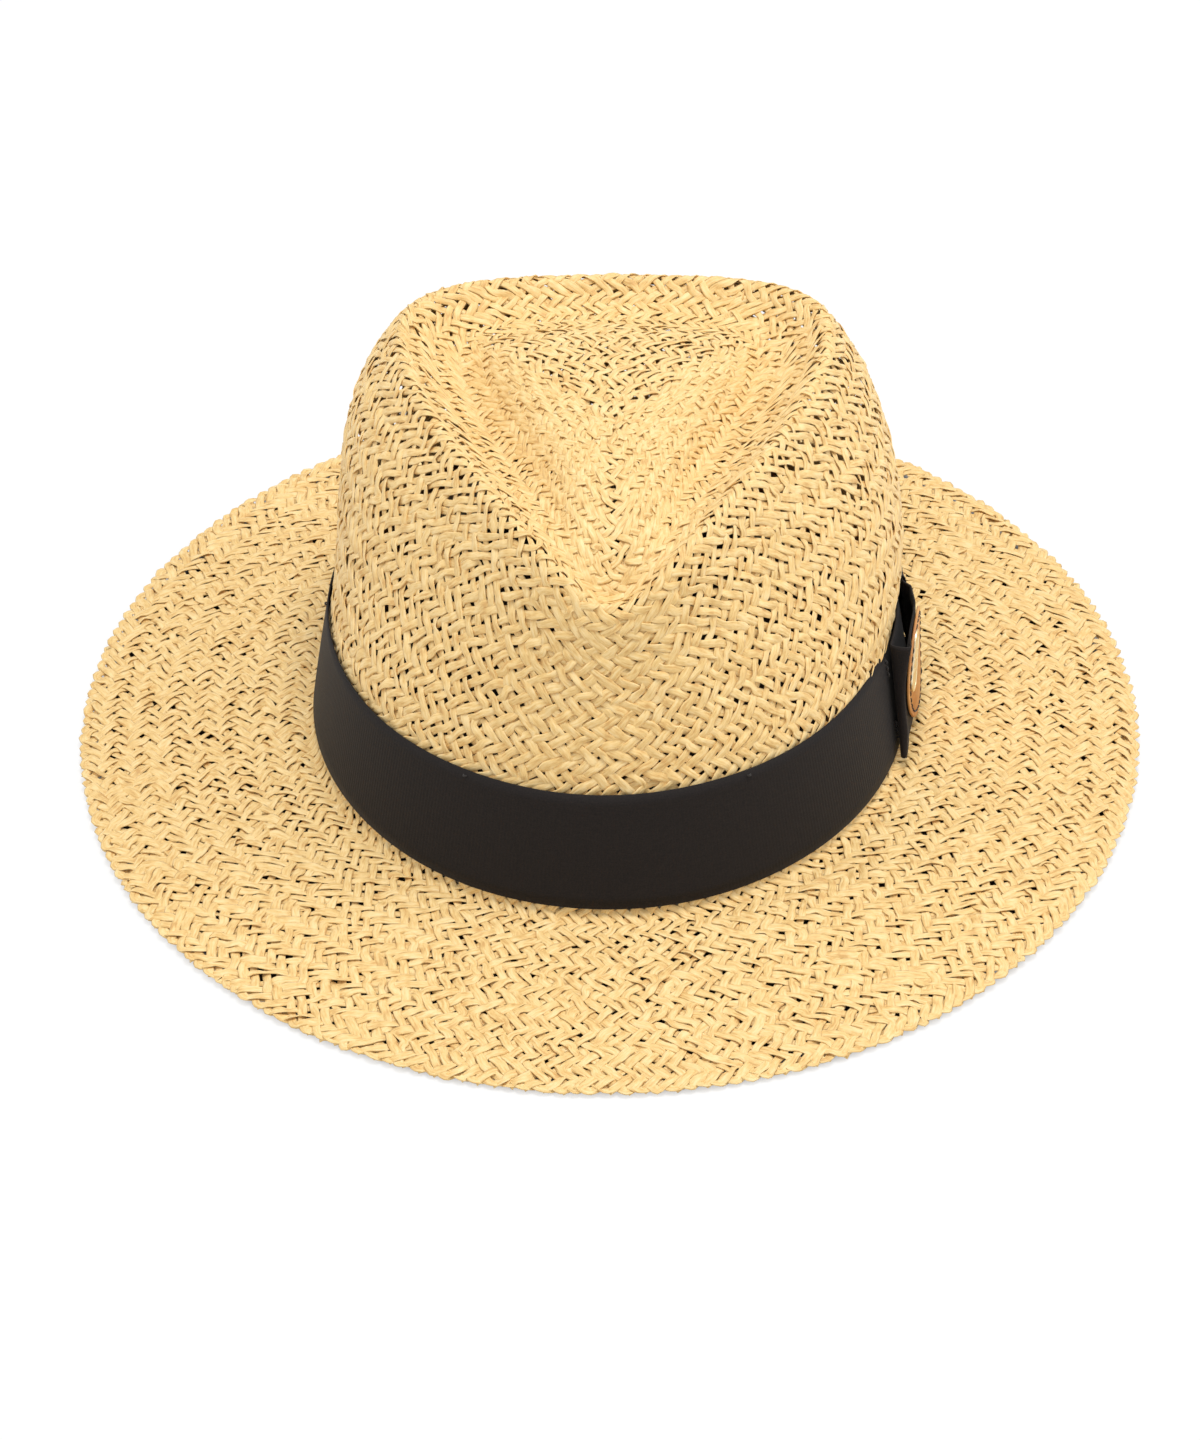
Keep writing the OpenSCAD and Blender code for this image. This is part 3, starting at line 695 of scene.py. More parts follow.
def ribbonMaterial():
    # black grosgrain: matt, with a soft sheen that catches the fine cross ribs
    material, tree, shader = newMaterial("black_grosgrain")
    flat = addNode(tree, "ShaderNodeAttribute", {"attribute_name": "flat"})
    place = addNode(tree, "ShaderNodeTexCoord")
    speck = addNode(tree, "ShaderNodeTexNoise", inputs={"Scale": perMetre(0.4167), "Detail": 2.0},
                    links={"Vector": place.outputs["Object"]})
    # on the hatband a cloud is about 5 mm long and 0.3 mm high
    cloud = addNode(tree, "ShaderNodeTexNoise", inputs={"Scale": 60.0, "Detail": 3.0},
                    links={"Vector": flat.outputs["Vector"]})
    mixed = addNode(tree, "ShaderNodeMath", {"operation": "MULTIPLY_ADD"}, {1: 0.6},
                    {0: cloud.outputs[0], 2: speck.outputs[0]})
    tone = addNode(tree, "ShaderNodeValToRGB", links={0: mixed.outputs[0]})
    rampStops(tone, [(0.55, "#100C0B"), (1.0, "#1E1816")])
    tree.links.new(tone.outputs[0], shader.inputs["Base Color"])
    bump = addNode(tree, "ShaderNodeBump", inputs={"Strength": 0.35, "Distance": 0.00015},
                   links={"Height": speck.outputs[0]})
    tree.links.new(bump.outputs[0], shader.inputs["Normal"])
    shader.inputs["Roughness"].default_value = 0.72
    shader.inputs["Specular IOR Level"].default_value = 0.2
    shader.inputs["Sheen Weight"].default_value = 0.04
    shader.inputs["Sheen Roughness"].default_value = 0.5
    return material


def leatherMaterial(name, dark, light, grain, gloss):
    # vegetable-tanned leather: fine pebbled grain (mm), cloudy tan colour, soft gloss
    material, tree, shader = newMaterial(name)
    place = addNode(tree, "ShaderNodeTexCoord")
    cloud = addNode(tree, "ShaderNodeTexNoise", inputs={"Scale": perMetre(11.1), "Detail": 5.0},
                    links={"Vector": place.outputs["Object"]})
    pebble = addNode(tree, "ShaderNodeTexVoronoi", {"feature": "SMOOTH_F1"},
                     {"Scale": perMetre(grain), "Smoothness": 0.6},
                     {"Vector": place.outputs["Object"]})
    tone = addNode(tree, "ShaderNodeValToRGB", links={0: cloud.outputs[0]})
    rampStops(tone, [(0.35, dark), (0.68, light)])
    tree.links.new(tone.outputs[0], shader.inputs["Base Color"])
    bump = addNode(tree, "ShaderNodeBump", inputs={"Strength": 0.3, "Distance": 0.0002},
                   links={"Height": pebble.outputs["Distance"]})
    tree.links.new(bump.outputs[0], shader.inputs["Normal"])
    shader.inputs["Roughness"].default_value = gloss
    return material


def clothMaterial(name, dark, light, rough=0.85):
    # plain woven cotton or spun thread: matt with a faint sheen
    material, tree, shader = newMaterial(name)
    place = addNode(tree, "ShaderNodeTexCoord")
    fibre = addNode(tree, "ShaderNodeTexNoise", inputs={"Scale": perMetre(0.5556), "Detail": 3.0},
                    links={"Vector": place.outputs["Object"]})
    tone = addNode(tree, "ShaderNodeValToRGB", links={0: fibre.outputs[0]})
    rampStops(tone, [(0.35, dark), (0.65, light)])
    tree.links.new(tone.outputs[0], shader.inputs["Base Color"])
    bump = addNode(tree, "ShaderNodeBump", inputs={"Strength": 0.4, "Distance": 0.0001},
                   links={"Height": fibre.outputs[0]})
    tree.links.new(bump.outputs[0], shader.inputs["Normal"])
    shader.inputs["Roughness"].default_value = rough
    shader.inputs["Sheen Weight"].default_value = 0.15
    return material


def metalMaterial():
    # pale nickel with a warm cast, brushed in lines 0.11 mm apart
    material, tree, shader = newMaterial("pale_nickel")
    place = addNode(tree, "ShaderNodeTexCoord")
    fine, long = perMetre(0.1111), perMetre(1.111)
    stretch = addNode(tree, "ShaderNodeMapping", inputs={"Scale": (fine, long, long)},
                      links={"Vector": place.outputs["Object"]})
    brushed = addNode(tree, "ShaderNodeTexNoise", inputs={"Scale": 1.0, "Detail": 2.0},
                      links={"Vector": stretch.outputs["Vector"]})
    rough = addNode(tree, "ShaderNodeMapRange", inputs={3: 0.24, 4: 0.42},
                    links={0: brushed.outputs[0]})
    tree.links.new(rough.outputs[0], shader.inputs["Roughness"])
    shader.inputs["Base Color"].default_value = hexColour("#EFE0BC")
    shader.inputs["Metallic"].default_value = 1.0
    return material


grosgrain = ribbonMaterial()
badgeLeather = leatherMaterial("tan_leather", "#B9763A", "#D8A05E", 0.6, 0.5)
bandLeather = leatherMaterial("sweatband_leather", "#8A5A32", "#A9743F", 0.9, 0.45)
darkThread = clothMaterial("dark_thread", "#1B1715", "#2A2522")
lightThread = clothMaterial("light_thread", "#CDB88F", "#E4D3AE")
cotton = clothMaterial("cotton_tape", "#D6CBB0", "#E8DFC8")
paleMetal = metalMaterial()


def atY(y):
    return np.arcsin(np.asarray(y, float) / footLength)


# Hatband: one length of grosgrain round the foot of the crown, its ends under the bow
band = {
    "rib": 1.15,        # mm from rib to rib
    "ribRise": 0.03,    # mm
    "ribRows": 10,
    "ends": (14.0, 22.0),  # places along the left side where the ends overlap
    "thick": 0.42,
    "wave": 0.12,       # mm of looseness against the straw
}


def layHatband():
    start, end = float(atY(band["ends"][0])), float(atY(band["ends"][1])) + turn
    length = 0.5 * (footWidth + footLength) * (end - start)
    ribs = int(length / band["rib"])
    middle = hood["layerGap"] + hood["ribbonThick"] / 2

    def place(u, v):
        a = start + (end - start) * u
        rib = np.cos(turn * ribs * u) * band["ribRise"] * (1 - np.abs(2 * v - 1) ** 12)
        loose = band["wave"] * np.sin(5 * a + 1) * np.sin(3 * a + 4 * v)
        over = 0.5 * ease((u - 0.97) / 0.02)
        high = ribbonTop - 0.12 * (1 + np.sin(7 * a)) * v
        h = hood["ribbonLift"] + (high - hood["ribbonLift"]) * v
        return wall(a, h, middle + rib + loose + over)

    piece = layGrid("hatband", ribs * 4, band["ribRows"], place, grosgrain, band["thick"])
    claim(piece, "ribbon", "hatband_ribbon")


layHatband()
print("hatband")

# Bow: one ribbon folded into two flat loops, drawn in under the keeper
bow = {
    "front": -26.0, "rear": 52.0, "keeper": 18.0, "keeperWidth": 14.0, "keeperThick": 0.8,
    "endThick": 1.1, "midThick": 5.0, "gather": 1.6, "thick": 0.5,
    "frontPlane": (85.0, 0.12),   # X of the stiff front wing at frontPlaneY, and its slope
    "frontPlaneY": -30.0,
    "reach": (-6.0, 1.0),         # how far its lower and upper corner reach forward
    "pleats": 4, "pleatRise": 0.32, "rib": 1.15, "ribRise": 0.04, "length": 164.0,
}
bowBack = bandFace + bow["keeperThick"] + 2 * hood["layerGap"]
keeperFront = bow["keeper"] - bow["keeperWidth"] / 2
keeperRear = bow["keeper"] + bow["keeperWidth"] / 2


def bowNear(y):
    # 0 at the end of a wing, 1 where it meets the keeper
    return np.clip(np.where(y < bow["keeper"],
                            (y - bow["front"]) / (keeperFront - bow["front"]),
                            (bow["rear"] - y) / (bow["rear"] - keeperRear)), 0, 1)


def bowOuter(y, v):
    # distance of the bow's outer layer from the straw
    near = bowNear(y)
    grown = bow["endThick"] + (bow["midThick"] - bow["endThick"]) * near
    tight = ease((near - 0.88) / 0.12)
    loose = bowBack + grown + (bow["midThick"] * 0.5 - grown) * tight - bow["thick"] / 2
    h = hood["ribbonLift"] + (ribbonTop - hood["ribbonLift"]) * v
    x, slope = bow["frontPlane"]
    stiff = x + slope * (y - bow["frontPlaneY"]) - wall(atY(y), h, 0)[..., 0]
    stiff = np.maximum(stiff, bowBack + bow["thick"] * 1.2)
    share = ease((near - 0.45) / 0.5)
    wing = stiff * (1 - share) + loose * share
    return np.where(y < keeperFront, wing, loose)


def badgeFrame():
    # the badge hangs nearly upright, turned a little to the front
    forward, upward = (math.radians(badgePlace[k]) for k in ("forward", "upward"))
    out = np.array([math.cos(forward) * math.cos(upward),
                    -math.sin(forward) * math.cos(upward), math.sin(upward)])
    across = unit(np.cross(up, out))
    rise = np.cross(out, across)
    seat = wall(float(atY(badgePlace["y"])), hood["ribbonLift"] + hood["ribbonHeight"] / 2,
                bowBack + badgePlace["standOff"]) + out * badgePlace["lift"]
    return seat, across, rise, out


badgePlace = {"y": -8.0, "forward": 8.0, "upward": 2.5, "standOff": 2.75, "lift": 0.8}
badgeSeat, badgeAcross, badgeRise, badgeOut = badgeFrame()
badge = {
    "radius": 16.0, "thick": 0.7, "edge": 0.22, "groove": 1.7, "stitches": 34,
    "thread": 0.2, "plateHeight": 18.0, "plateWidth": 7.0, "plateThick": 0.5,
    "plateShift": 8.0, "plateRise": 6.0, "plateTurn": 28.0, "bend": 110.0,   # mm of radius
    "prong": 0.7, "prongPitch": 9.0, "washer": 2.2, "washerThick": 0.3,
    "pressed": 9.0, "ribbonGap": 0.35,    # how far round it, and how deep, the bow is pressed
}


def pressUnderBadge(points):
    # the ribbon is pressed flat behind the badge
    local = points - badgeSeat
    x, y, z = (local @ axis for axis in (badgeAcross, badgeRise, badgeOut))
    radius = np.hypot(x, y)
    soft = ease((badge["radius"] + badge["pressed"] - radius) / badge["pressed"])
    face = -x ** 2 / (2 * badge["bend"]) - bow["thick"] / 2 - badge["ribbonGap"]
    excess = np.maximum(z - face, 0) * soft
    return points - excess[:, None] * badgeOut


def bowPath():
    # y place and share from back layer to outer layer, along the ribbon
    bend = np.linspace(0, math.pi, 15)
    front = np.stack([bow["front"] + 0.9 - 0.9 * np.sin(bend), (1 - np.cos(bend)) / 2], -1)
    rear = np.stack([bow["rear"] - 0.9 + 0.9 * np.sin(bend), (1 + np.cos(bend)) / 2], -1)
    frontEnd, rearEnd = bow["front"] + 1.5, bow["rear"] - 1.5

    def straight(start, end, count, layer):
        return np.stack([np.linspace(start, end, count), np.full(count, layer)], -1)

    path = np.concatenate([straight(bow["keeper"] + 2, frontEnd, 50, 0), front,
                           straight(frontEnd, rearEnd, 160, 1), rear,
                           straight(rearEnd, bow["keeper"] + 3, 40, 0)])
    steps = np.hypot(np.diff(path[:, 0]), 3 * np.diff(path[:, 1]))
    return path, np.concatenate([[0], np.cumsum(steps)]) / steps.sum(), steps.sum()


def layBow():
    path, share, length = bowPath()
    back = bowBack + bow["thick"] / 2

    def place(u, v):
        y, layer = np.interp(u, share, path[:, 0]), np.interp(u, share, path[:, 1])
        near = bowNear(y)
        reachLow, reachHigh = bow["reach"]
        y = np.where(y < keeperFront, y + (reachLow + (reachHigh - reachLow) * v)
                     * (1 - near) ** 1.3, y)
        inset = bow["gather"] * ease((near - 0.6) / 0.4)
        low = hood["ribbonLift"] + 0.2 + inset
        high = ribbonTop + 0.5 - inset
        h = low + (high - low) * v
        pleat = np.cos(turn * bow["pleats"] * v) * bow["pleatRise"] * ease((near - 0.55) / 0.45)
        rib = bow["ribRise"] * np.cos(turn * u * length / bow["rib"])
        outer = bowOuter(y, v) + pleat
        out = back + (outer - back) * layer + rib
        points = wall(atY(y), h, out)
        pressed = pressUnderBadge(points)
        return np.where((layer > 0.4)[:, None], pressed, points)

    piece = layGrid("side_bow", 440, 32, place, grosgrain, bow["thick"])
    claim(piece, "ribbon", "bow_loop")


def layKeeper():
    # a narrow ribbon with lengthwise folds, wrapped round the gathered middle
    slack = hood["layerGap"] + 0.3
    low = hood["ribbonLift"] + 0.2 + bow["gather"] - slack
    high = ribbonTop + 0.6 - bow["gather"] + slack
    inner = bandFace + slack
    outer = bowBack + bow["midThick"] * 0.5 + hood["layerGap"] + 0.35
    edge, fold, corner = 0.35, 0.7, 1.4
    bend = np.linspace(0, math.pi / 2, 6)
    loop = [(low + 8, inner), (high, inner)]
    loop += [(high + edge * math.sin(b), inner + fold * (1 - math.cos(b))) for b in bend]
    loop += [(high + edge - corner * (1 - math.cos(b)), outer - corner * (1 - math.sin(b)))
             for b in bend]
    loop += [(low - edge + corner * (1 - math.sin(b)), outer - corner * (1 - math.cos(b)))
             for b in bend]
    loop += [(low - edge * math.cos(b), inner + fold * (1 - math.sin(b))) for b in bend]
    loop += [(low + 12, inner - 0.05)]
    loop = np.array(loop)
    steps = np.linalg.norm(np.diff(loop, axis=0), axis=1)
    share = np.concatenate([[0], np.cumsum(steps)]) / steps.sum()

    def place(u, v):
        h, out = np.interp(u, share, loop[:, 0]), np.interp(u, share, loop[:, 1])
        front = ease((out - inner - 1.5) / 1.5)
        y = keeperFront + 0.4 + (bow["keeperWidth"] - 0.8) * v
        crease = 0.3 * np.sin(turn * 2.5 * v + 0.6) + 0.12 * np.sin(turn * 6 * v + 2 * h / 9)
        return wall(atY(y), h, out + crease * front)

    piece = layGrid("bow_knot", 120, 40, place, grosgrain, 0.4)
    claim(piece, "ribbon", "bow_keeper")


layBow()
layKeeper()
print("bow and keeper")


# Badge: a turned leather disc, a ring of saddle stitches and a plain nickel plate
def badgeMatrix(shift=0.0, raised=0.0, lift=0.0, roll=0.0):
    # from the badge's own place, flat in XY, to where it hangs
    c, s = math.cos(math.radians(roll)), math.sin(math.radians(roll))
    across = badgeAcross * c + badgeRise * s
    rise = badgeRise * c - badgeAcross * s
    place = (badgeSeat - badgeAcross * shift + badgeRise * raised + badgeOut * lift) * mm
    turned = Matrix((across, rise, badgeOut)).transposed().to_4x4()
    return Matrix.Translation(place) @ turned


def plateMatrix(lift):
    return badgeMatrix(badge["plateShift"], badge["plateRise"], lift, -badge["plateTurn"])


def bendBadge(bm):
    # the badge follows the hat's curve: it falls away to its front and rear
    axis, out = Vector(badgeAcross), Vector(badgeOut)
    seat = Vector(badgeSeat * mm)
    for vert in bm.verts:
        vert.co -= out * ((vert.co - seat).dot(axis) ** 2 / (2 * badge["bend"] * mm))


def makeBadge():
    r, t, e = badge["radius"], badge["thick"], badge["edge"]
    stitchLine = r - badge["groove"]
    profile = [(0, 0), (r - 0.2, 0), (r, 0.2), (r, t - e), (r - 0.08, t - 0.08), (r - e, t),
               (stitchLine + 0.45, t), (stitchLine + 0.2, t - 0.22), (stitchLine - 0.2, t - 0.22),
               (stitchLine - 0.45, t), (0, t + 0.05)]
    bm = bmesh.new()
    verts = [bm.verts.new((x * mm, 0, z * mm)) for x, z in profile]
    edges = [bm.edges.new((verts[i], verts[i + 1])) for i in range(len(verts) - 1)]
    bmesh.ops.spin(bm, geom=verts + edges, angle=turn, steps=96, axis=(0, 0, 1),
                   cent=(0, 0, 0), use_merge=True)
    bmesh.ops.remove_doubles(bm, verts=bm.verts, dist=1e-6)
    bmesh.ops.recalc_face_normals(bm, faces=bm.faces)
    bmesh.ops.transform(bm, matrix=badgeMatrix(), verts=bm.verts)
    bendBadge(bm)
    for face in bm.faces:
        face.smooth = True
    claim(pieceFrom("badge_disc", bm, badgeLeather), "badge_leather", "leather_badge")


def makeBadgeStitches():
    stitches = []
    ring = badge["radius"] - badge["groove"]
    for i in range(badge["stitches"]):
        ends = []
        for part in (0.14, 0.86):
            b = turn * (i + part) / badge["stitches"]
            fall = (ring * math.cos(b)) ** 2 / (2 * badge["bend"])
            ends.append(badgeSeat + ring * (math.cos(b) * badgeAcross + math.sin(b) * badgeRise)
                        + (badge["thick"] - 0.1 - fall) * badgeOut)
        stitches.append((ends[0], ends[1], badgeOut))
    piece = sewThreads("badge_saddle_stitches", stitches, badge["thread"], darkThread)
    claim(piece, "dark_thread", "badge_stitches")


def makePlate():
    # a long plate with round ends, a raised rim and a sunk field with three bars
    w, h, t = badge["plateWidth"] / 2, badge["plateHeight"] / 2, badge["plateThick"]
    outline = [(w * math.cos(b), (h - w) * side + w * math.sin(b))
               for side, start in ((1, 0), (-1, math.pi))
               for b in np.linspace(start, start + math.pi, 25)]
    bm = bmesh.new()
    face = bm.faces.new([bm.verts.new((x * mm, y * mm, 0)) for x, y in outline])
    sides = bmesh.ops.extrude_face_region(bm, geom=[face])
    top = [v for v in sides["geom"] if isinstance(v, bmesh.types.BMVert)]
    bmesh.ops.translate(bm, verts=top, vec=(0, 0, t * mm))
    bmesh.ops.recalc_face_normals(bm, faces=bm.faces)
    field = [f for f in bm.faces if f.normal.z > 0.9]
    bmesh.ops.inset_region(bm, faces=field, thickness=0.9 * mm, depth=0)
    bmesh.ops.inset_region(bm, faces=field, thickness=0.1 * mm, depth=-0.15 * mm)
    for y in (-2.8, 0, 2.8):
        bar = Matrix.Translation((0, y * mm, (t - 0.12) * mm)) @ Matrix.Diagonal(
            (w * 1.15 * mm, 1.1 * mm, 0.24 * mm, 1))
        bmesh.ops.create_cube(bm, size=1, matrix=bar)
    rim = [e for e in bm.edges if len(e.link_faces) == 2 and e.calc_face_angle() > 0.6]
    bmesh.ops.bevel(bm, geom=rim, offset=0.06 * mm, segments=2, profile=0.5, affect="EDGES",
                    material=-1)
    bmesh.ops.transform(bm, matrix=plateMatrix(badge["thick"] + 0.05), verts=bm.verts)
    bendBadge(bm)
    claim(pieceFrom("badge_nickel_plate", bm, paleMetal), "plate_metal", "badge_plate")


def makeFixing(name, node, radius, low, high):
    # two short turned pins, or two washers, behind the plate
    bm = bmesh.new()
    for y in (-badge["prongPitch"] / 2, badge["prongPitch"] / 2):
        place = plateMatrix(0) @ Matrix.Translation((0, y * mm, (low + high) / 2 * mm))
        bmesh.ops.create_cone(bm, cap_ends=True, segments=32, radius1=radius * mm,
                              radius2=radius * mm, depth=(high - low) * mm, matrix=place)
    bendBadge(bm)
    claim(pieceFrom(name, bm, paleMetal), "plate_metal", node)


makeBadge()
makeBadgeStitches()
makePlate()
makeFixing("plate_pins", "plate_prongs", badge["prong"],
           -badge["washerThick"], badge["thick"] + 0.1)
makeFixing("pin_washers", "plate_washers", badge["washer"], -badge["washerThick"], -0.02)
print("badge")

# Sweatband with what is sewn to it, inside the crown
lining = {
    "low": 1.2, "height": 32.0, "thick": 0.9, "stitchLift": 2.6, "stitchPitch": 4.2,
    "thread": 0.3, "tapeWidth": 15.0, "tapeHeight": 28.0, "tapeThick": 0.5,
    "labelWidth": 30.0, "labelHeight": 16.0, "labelTurn": 34.0,
    "reed": 1.5,
}
bandOut = -hood["strawThick"] - hood["layerGap"] - lining["thick"]
tapeOut = bandOut - hood["layerGap"] - lining["tapeThick"]
tapeLow = lining["low"] + (lining["height"] - lining["tapeHeight"]) / 2
labelLow = lining["low"] + (lining["height"] - lining["labelHeight"]) / 2
labelMiddle = math.pi / 2 + math.radians(lining["labelTurn"])


def laySweatband():
    start, end = math.pi / 2 + 0.012, math.pi / 2 - 0.012 + turn

    def place(u, v):
        a = start + (end - start) * u
        loose = (0.25 * np.sin(9 * a) * np.sin(4 * a + 1) - 0.25) * v ** 2
        seam = -0.18 * np.exp(-((v * lining["height"] - lining["stitchLift"]) / 0.8) ** 2)
        h = lining["low"] + (lining["height"] - 0.3 * np.sin(6 * a) - 0.3) * v
        return wall(a, h, bandOut + lining["thick"] / 2 + loose + seam)

    piece = layGrid("sweatband_strip", 420, 24, place, bandLeather, 0.8, 0.12)
    claim(piece, "sweatband_leather", "sweatband")


def layPatch(name, middle, width, low, height, node, slot):
    half = width / (footWidth + footLength)

    def place(u, v):
        # rounded corners, and a slight curl at the ends
        corner = 1.2
        x, y = (u - 0.5) * width, (v - 0.5) * height
        over = np.hypot(np.maximum(np.abs(x) - width / 2 + corner, 0),
                        np.maximum(np.abs(y) - height / 2 + corner, 0))
        keep = np.where(over > corner, corner / np.maximum(over, 1e-9), 1)
        y = np.where(over > corner, np.sign(y) * (height / 2 - corner
                     + (np.abs(y) - height / 2 + corner) * keep), y)
        curl = -0.25 * np.abs(2 * u - 1) ** 6
        return wall(middle + (2 * u - 1) * half, low + height / 2 + y,
                    tapeOut + lining["tapeThick"] / 2 - 0.1 + curl)

    piece = layGrid(name, 32, 32, place, cotton, 0.4)
    claim(piece, slot, node)


def sewInside():
    # the long row that holds the sweatband, then the sides of the tape and of the label
    ring = math.pi * (footWidth + footLength)
    count = int(ring / lining["stitchPitch"])
    half = lining["stitchPitch"] * 0.36 / ((footWidth + footLength) / 2)
    tapeHalf = math.asin(lining["tapeWidth"] / 2 / footWidth) + 0.02
    row = []
    for i in range(count):
        a = math.pi / 2 + turn * (i + 0.5) / count
        if abs((a - math.pi / 2 + math.pi) % turn - math.pi) < tapeHalf:
            continue
        h = lining["low"] + lining["stitchLift"]
        start, end = (wall(b, h, bandOut - threadLift) for b in (a - half, a + half))
        row.append((start, end, -outward(a)))
    claim(sewThreads("sweatband_seam", row, lining["thread"], lightThread), "light_thread",
          "sweatband_stitching")
    rows = []
    for side in (-1, 1):
        a = math.pi / 2 + side * tapeHalf * 0.72
        rows += uprightStitches(a, tapeLow + 2, (lining["tapeHeight"] - 4) / 7, 7, 2.2,
                                tapeOut - threadLift, -outward(a))
    claim(sewThreads("tape_seam", rows, threadRadius, darkThread), "dark_thread", "tape_stitches")
    labelHalf = lining["labelWidth"] / (footWidth + footLength)
    rows = []
    for side in (-1, 1):
        a = labelMiddle + side * labelHalf * 0.86
        rows += uprightStitches(a, labelLow + 1.6, (lining["labelHeight"] - 3.4) / 5, 5, 1.6,
                                tapeOut - threadLift, -outward(a))
    claim(sewThreads("label_seam", rows, threadRadius, darkThread), "dark_thread",
          "label_stitches")


def sewOutside():
    # five tacks along the band's upper edge, and the threads at the bow's two ends
    out, h, half = bandFace + threadLift, ribbonTop - 1.5, 0.5 / footLength
    rows = []
    for i in range(1, 6):
        a = i * turn / 6
        rows.append((wall(a - half, h, out), wall(a + half, h, out), outward(a)))
    claim(sewThreads("band_tacks", rows, threadRadius, darkThread), "dark_thread", "ribbon_tacks")
    rows = []
    for y in (bow["front"] - 0.6, bow["rear"] + 0.6):
        a = float(atY(y))
        for low in (hood["ribbonLift"] + 3, ribbonTop - 9):
            rows += uprightStitches(a, low, 2, 3, 1.5, out, outward(a))
    claim(sewThreads("bow_tacks", rows, threadRadius, darkThread), "dark_thread", "bow_stitches")


laySweatband()
layPatch("sweatband_join_tape", math.pi / 2, lining["tapeWidth"], tapeLow,
         lining["tapeHeight"], "sweatband_tape", "lining")
layPatch("blank_label", labelMiddle, lining["labelWidth"], labelLow,
         lining["labelHeight"], "size_label", "label")
sewInside()
sewOutside()


def layReed():
    # a ring of cord in the sweatband's lower edge
    a, width = turn * np.arange(361) / 360, lining["reed"]
    path = wall(a, lining["low"] - 1.0, bandOut + lining["thick"] / 2)
    strand = (path, np.broadcast_to(up, path.shape), np.full(len(path), width))
    piece = bentStrands("sweatband_cord", [strand], roundThread, cotton, width)
    claim(piece, "lining", "sweatband_reed")


layReed()
print("sweatband")


# Camera, floor and light
view = {
    "distance": 1400, "elevation": 36.3, "azimuth": 0.8, "roll": -0.57,   # mm and degrees
    "lens": 144.621, "sensor": 36, "side": -2.8, "raise": -6.7,
}
lamps = {
    "size": 0.8, "aim": (0, 0, 0.05),        # metres
    "key": ((0.2, 0.05, 1.9), 21), "front": ((-0.3, -1.6, 1.2), 3.4),     # place and watts
    "left": ((-1.6, -0.1, 1.1), 5), "right": ((1.6, 0.0, 1.1), 8),
    "sky": 0.5,
}
floorSize = {
    "radius": 6,                 # metres
    "below": 0.6,                # mm under the brim, clear of every strand
    "dark": (0.955, 1.015),      # share of the brim's oval where the painted shadow under it ends
}


def addCamera():
    az, el, roll = (math.radians(view[k]) for k in ("azimuth", "elevation", "roll"))
    back = Vector((math.sin(az) * math.cos(el), -math.cos(az) * math.cos(el), math.sin(el)))
    right = (-back).cross(Vector((0, 0, 1))).normalized()
    upward = right.cross(-back)
    camRight = right * math.cos(roll) + upward * math.sin(roll)
    camUp = -right * math.sin(roll) + upward * math.cos(roll)
    target = Vector((0, 0, footZ)) + camRight * view["side"] + camUp * view["raise"]
    data = bpy.data.cameras.new("camera")
    data.sensor_fit = "HORIZONTAL"
    data.sensor_width = view["sensor"]
    data.lens = view["lens"]
    data.clip_end = 50
    camera = bpy.data.objects.new("camera", data)
    spin = Matrix((camRight, camUp, back)).transposed().to_4x4()
    camera.matrix_world = Matrix.Translation((target + back * view["distance"]) * mm) @ spin
    bpy.context.scene.collection.objects.link(camera)
    bpy.context.scene.camera = camera


def addLamp(name):
    place, power = lamps[name]
    data = bpy.data.lights.new(name, "AREA")
    data.shape = "DISK"
    data.size = lamps["size"]
    data.energy = power
    lamp = bpy.data.objects.new(name, data)
    lamp.location = place
    direction = Vector(lamps["aim"]) - Vector(place)
    lamp.rotation_euler = direction.to_track_quat("-Z", "Y").to_euler()
    bpy.context.scene.collection.objects.link(lamp)


def seenDirectly(tree):
    # 1 for what the camera sees itself or in a gloss
    path = addNode(tree, "ShaderNodeLightPath")
    return addNode(tree, "ShaderNodeMath", {"operation": "MAXIMUM"},
                   links={0: path.outputs["Is Camera Ray"], 1: path.outputs["Is Glossy Ray"]})


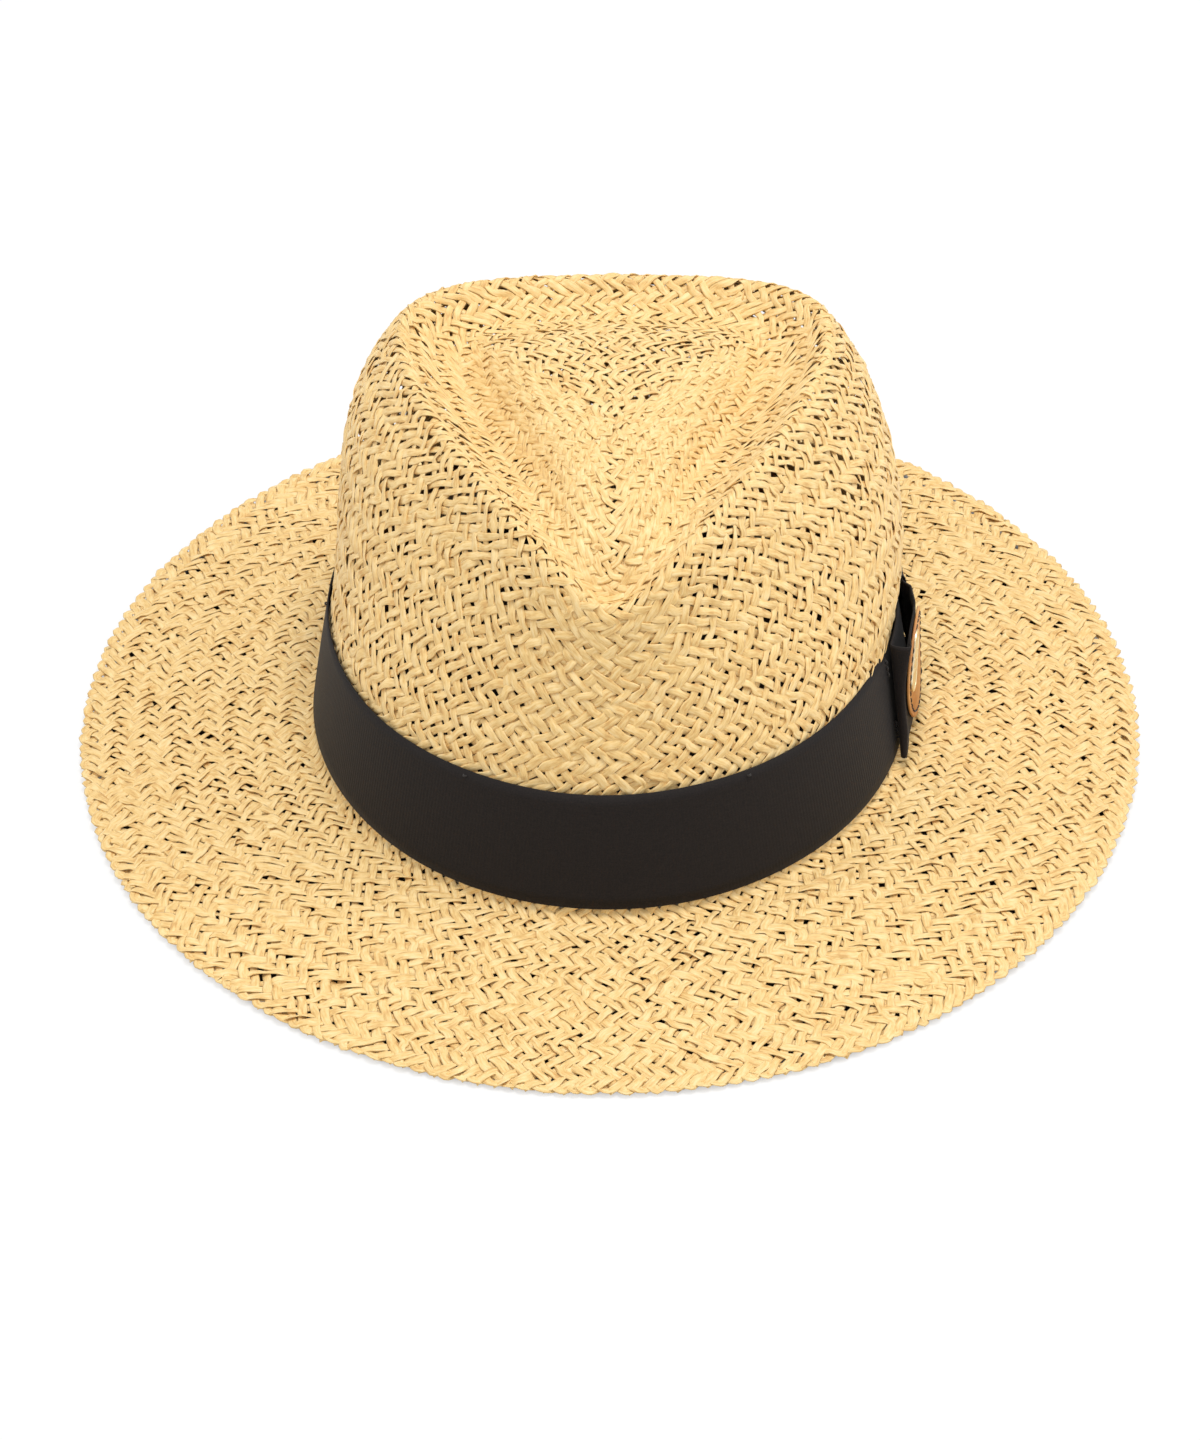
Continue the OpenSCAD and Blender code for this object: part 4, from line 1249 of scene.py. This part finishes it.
def addStudio():
    # a white surround that lights the hat at half its strength
    scene = bpy.context.scene
    scene.view_settings.view_transform = "Standard"
    world = bpy.data.worlds.new("studio")
    scene.world = world
    world.use_nodes = True
    tree = world.node_tree
    background = tree.nodes["Background"]
    strength = addNode(tree, "ShaderNodeMix", {"data_type": "FLOAT"}, {2: lamps["sky"], 3: 1.0},
                       {0: seenDirectly(tree).outputs[0]})
    background.inputs["Color"].default_value = (1, 1, 1, 1)
    tree.links.new(strength.outputs[0], background.inputs["Strength"])
    for name in ("key", "front", "left", "right"):
        addLamp(name)


def addFloor():
    # a white paper sweep that keeps a faint shadow and is white to the camera away from the hat;
    # under the brim its colour is a painted dark-brown shadow
    bm = bmesh.new()
    low = Matrix.Translation((0, 0, -floorSize["below"] * mm))
    bmesh.ops.create_circle(bm, cap_ends=True, segments=64, radius=floorSize["radius"], matrix=low)
    mesh = bpy.data.meshes.new("floor")
    bm.to_mesh(mesh)
    bm.free()
    material, tree, shader = newMaterial("white_floor_painted_shadow")
    shader.inputs["Roughness"].default_value = 0.9
    glow = addNode(tree, "ShaderNodeEmission", inputs={"Color": (1, 1, 1, 1), "Strength": 1.0})
    place = addNode(tree, "ShaderNodeTexCoord")
    brimHalf = (footWidth + hood["brimSide"], footLength + hood["brimFront"])
    oval = addNode(tree, "ShaderNodeMapping",
                   inputs={"Scale": (*(perMetre(half) for half in brimHalf), 0)},
                   links={"Vector": place.outputs["Object"]})
    reach = addNode(tree, "ShaderNodeVectorMath", {"operation": "LENGTH"},
                    links={0: oval.outputs["Vector"]})
    paintedShadowIn, paintedShadowOut = floorSize["dark"]
    outside = addNode(tree, "ShaderNodeMapRange", {"interpolation_type": "SMOOTHSTEP"},
                      {1: paintedShadowIn, 2: paintedShadowOut, 3: 0.0, 4: 0.85}, {0: reach.outputs["Value"]})
    # painted shadow: the floor's colour is dark brown under the hat, so that the holes of the
    # weave read as depth
    shade = addNode(tree, "ShaderNodeValToRGB", links={0: outside.outputs[0]})
    rampStops(shade, [(0.0, "#33261A"), (0.8, "#F4F4F4")])
    tree.links.new(shade.outputs[0], shader.inputs["Base Color"])
    share = addNode(tree, "ShaderNodeMath", {"operation": "MULTIPLY"},
                    links={0: seenDirectly(tree).outputs[0], 1: outside.outputs[0]})
    mix = addNode(tree, "ShaderNodeMixShader",
                  links={0: share.outputs[0], 1: shader.outputs[0], 2: glow.outputs[0]})
    tree.links.new(mix.outputs[0], tree.nodes["Material Output"].inputs["Surface"])
    mesh.materials.append(material)
    floor = bpy.data.objects.new("floor", mesh)
    bpy.context.scene.collection.objects.link(floor)


addCamera()
addStudio()
addFloor()
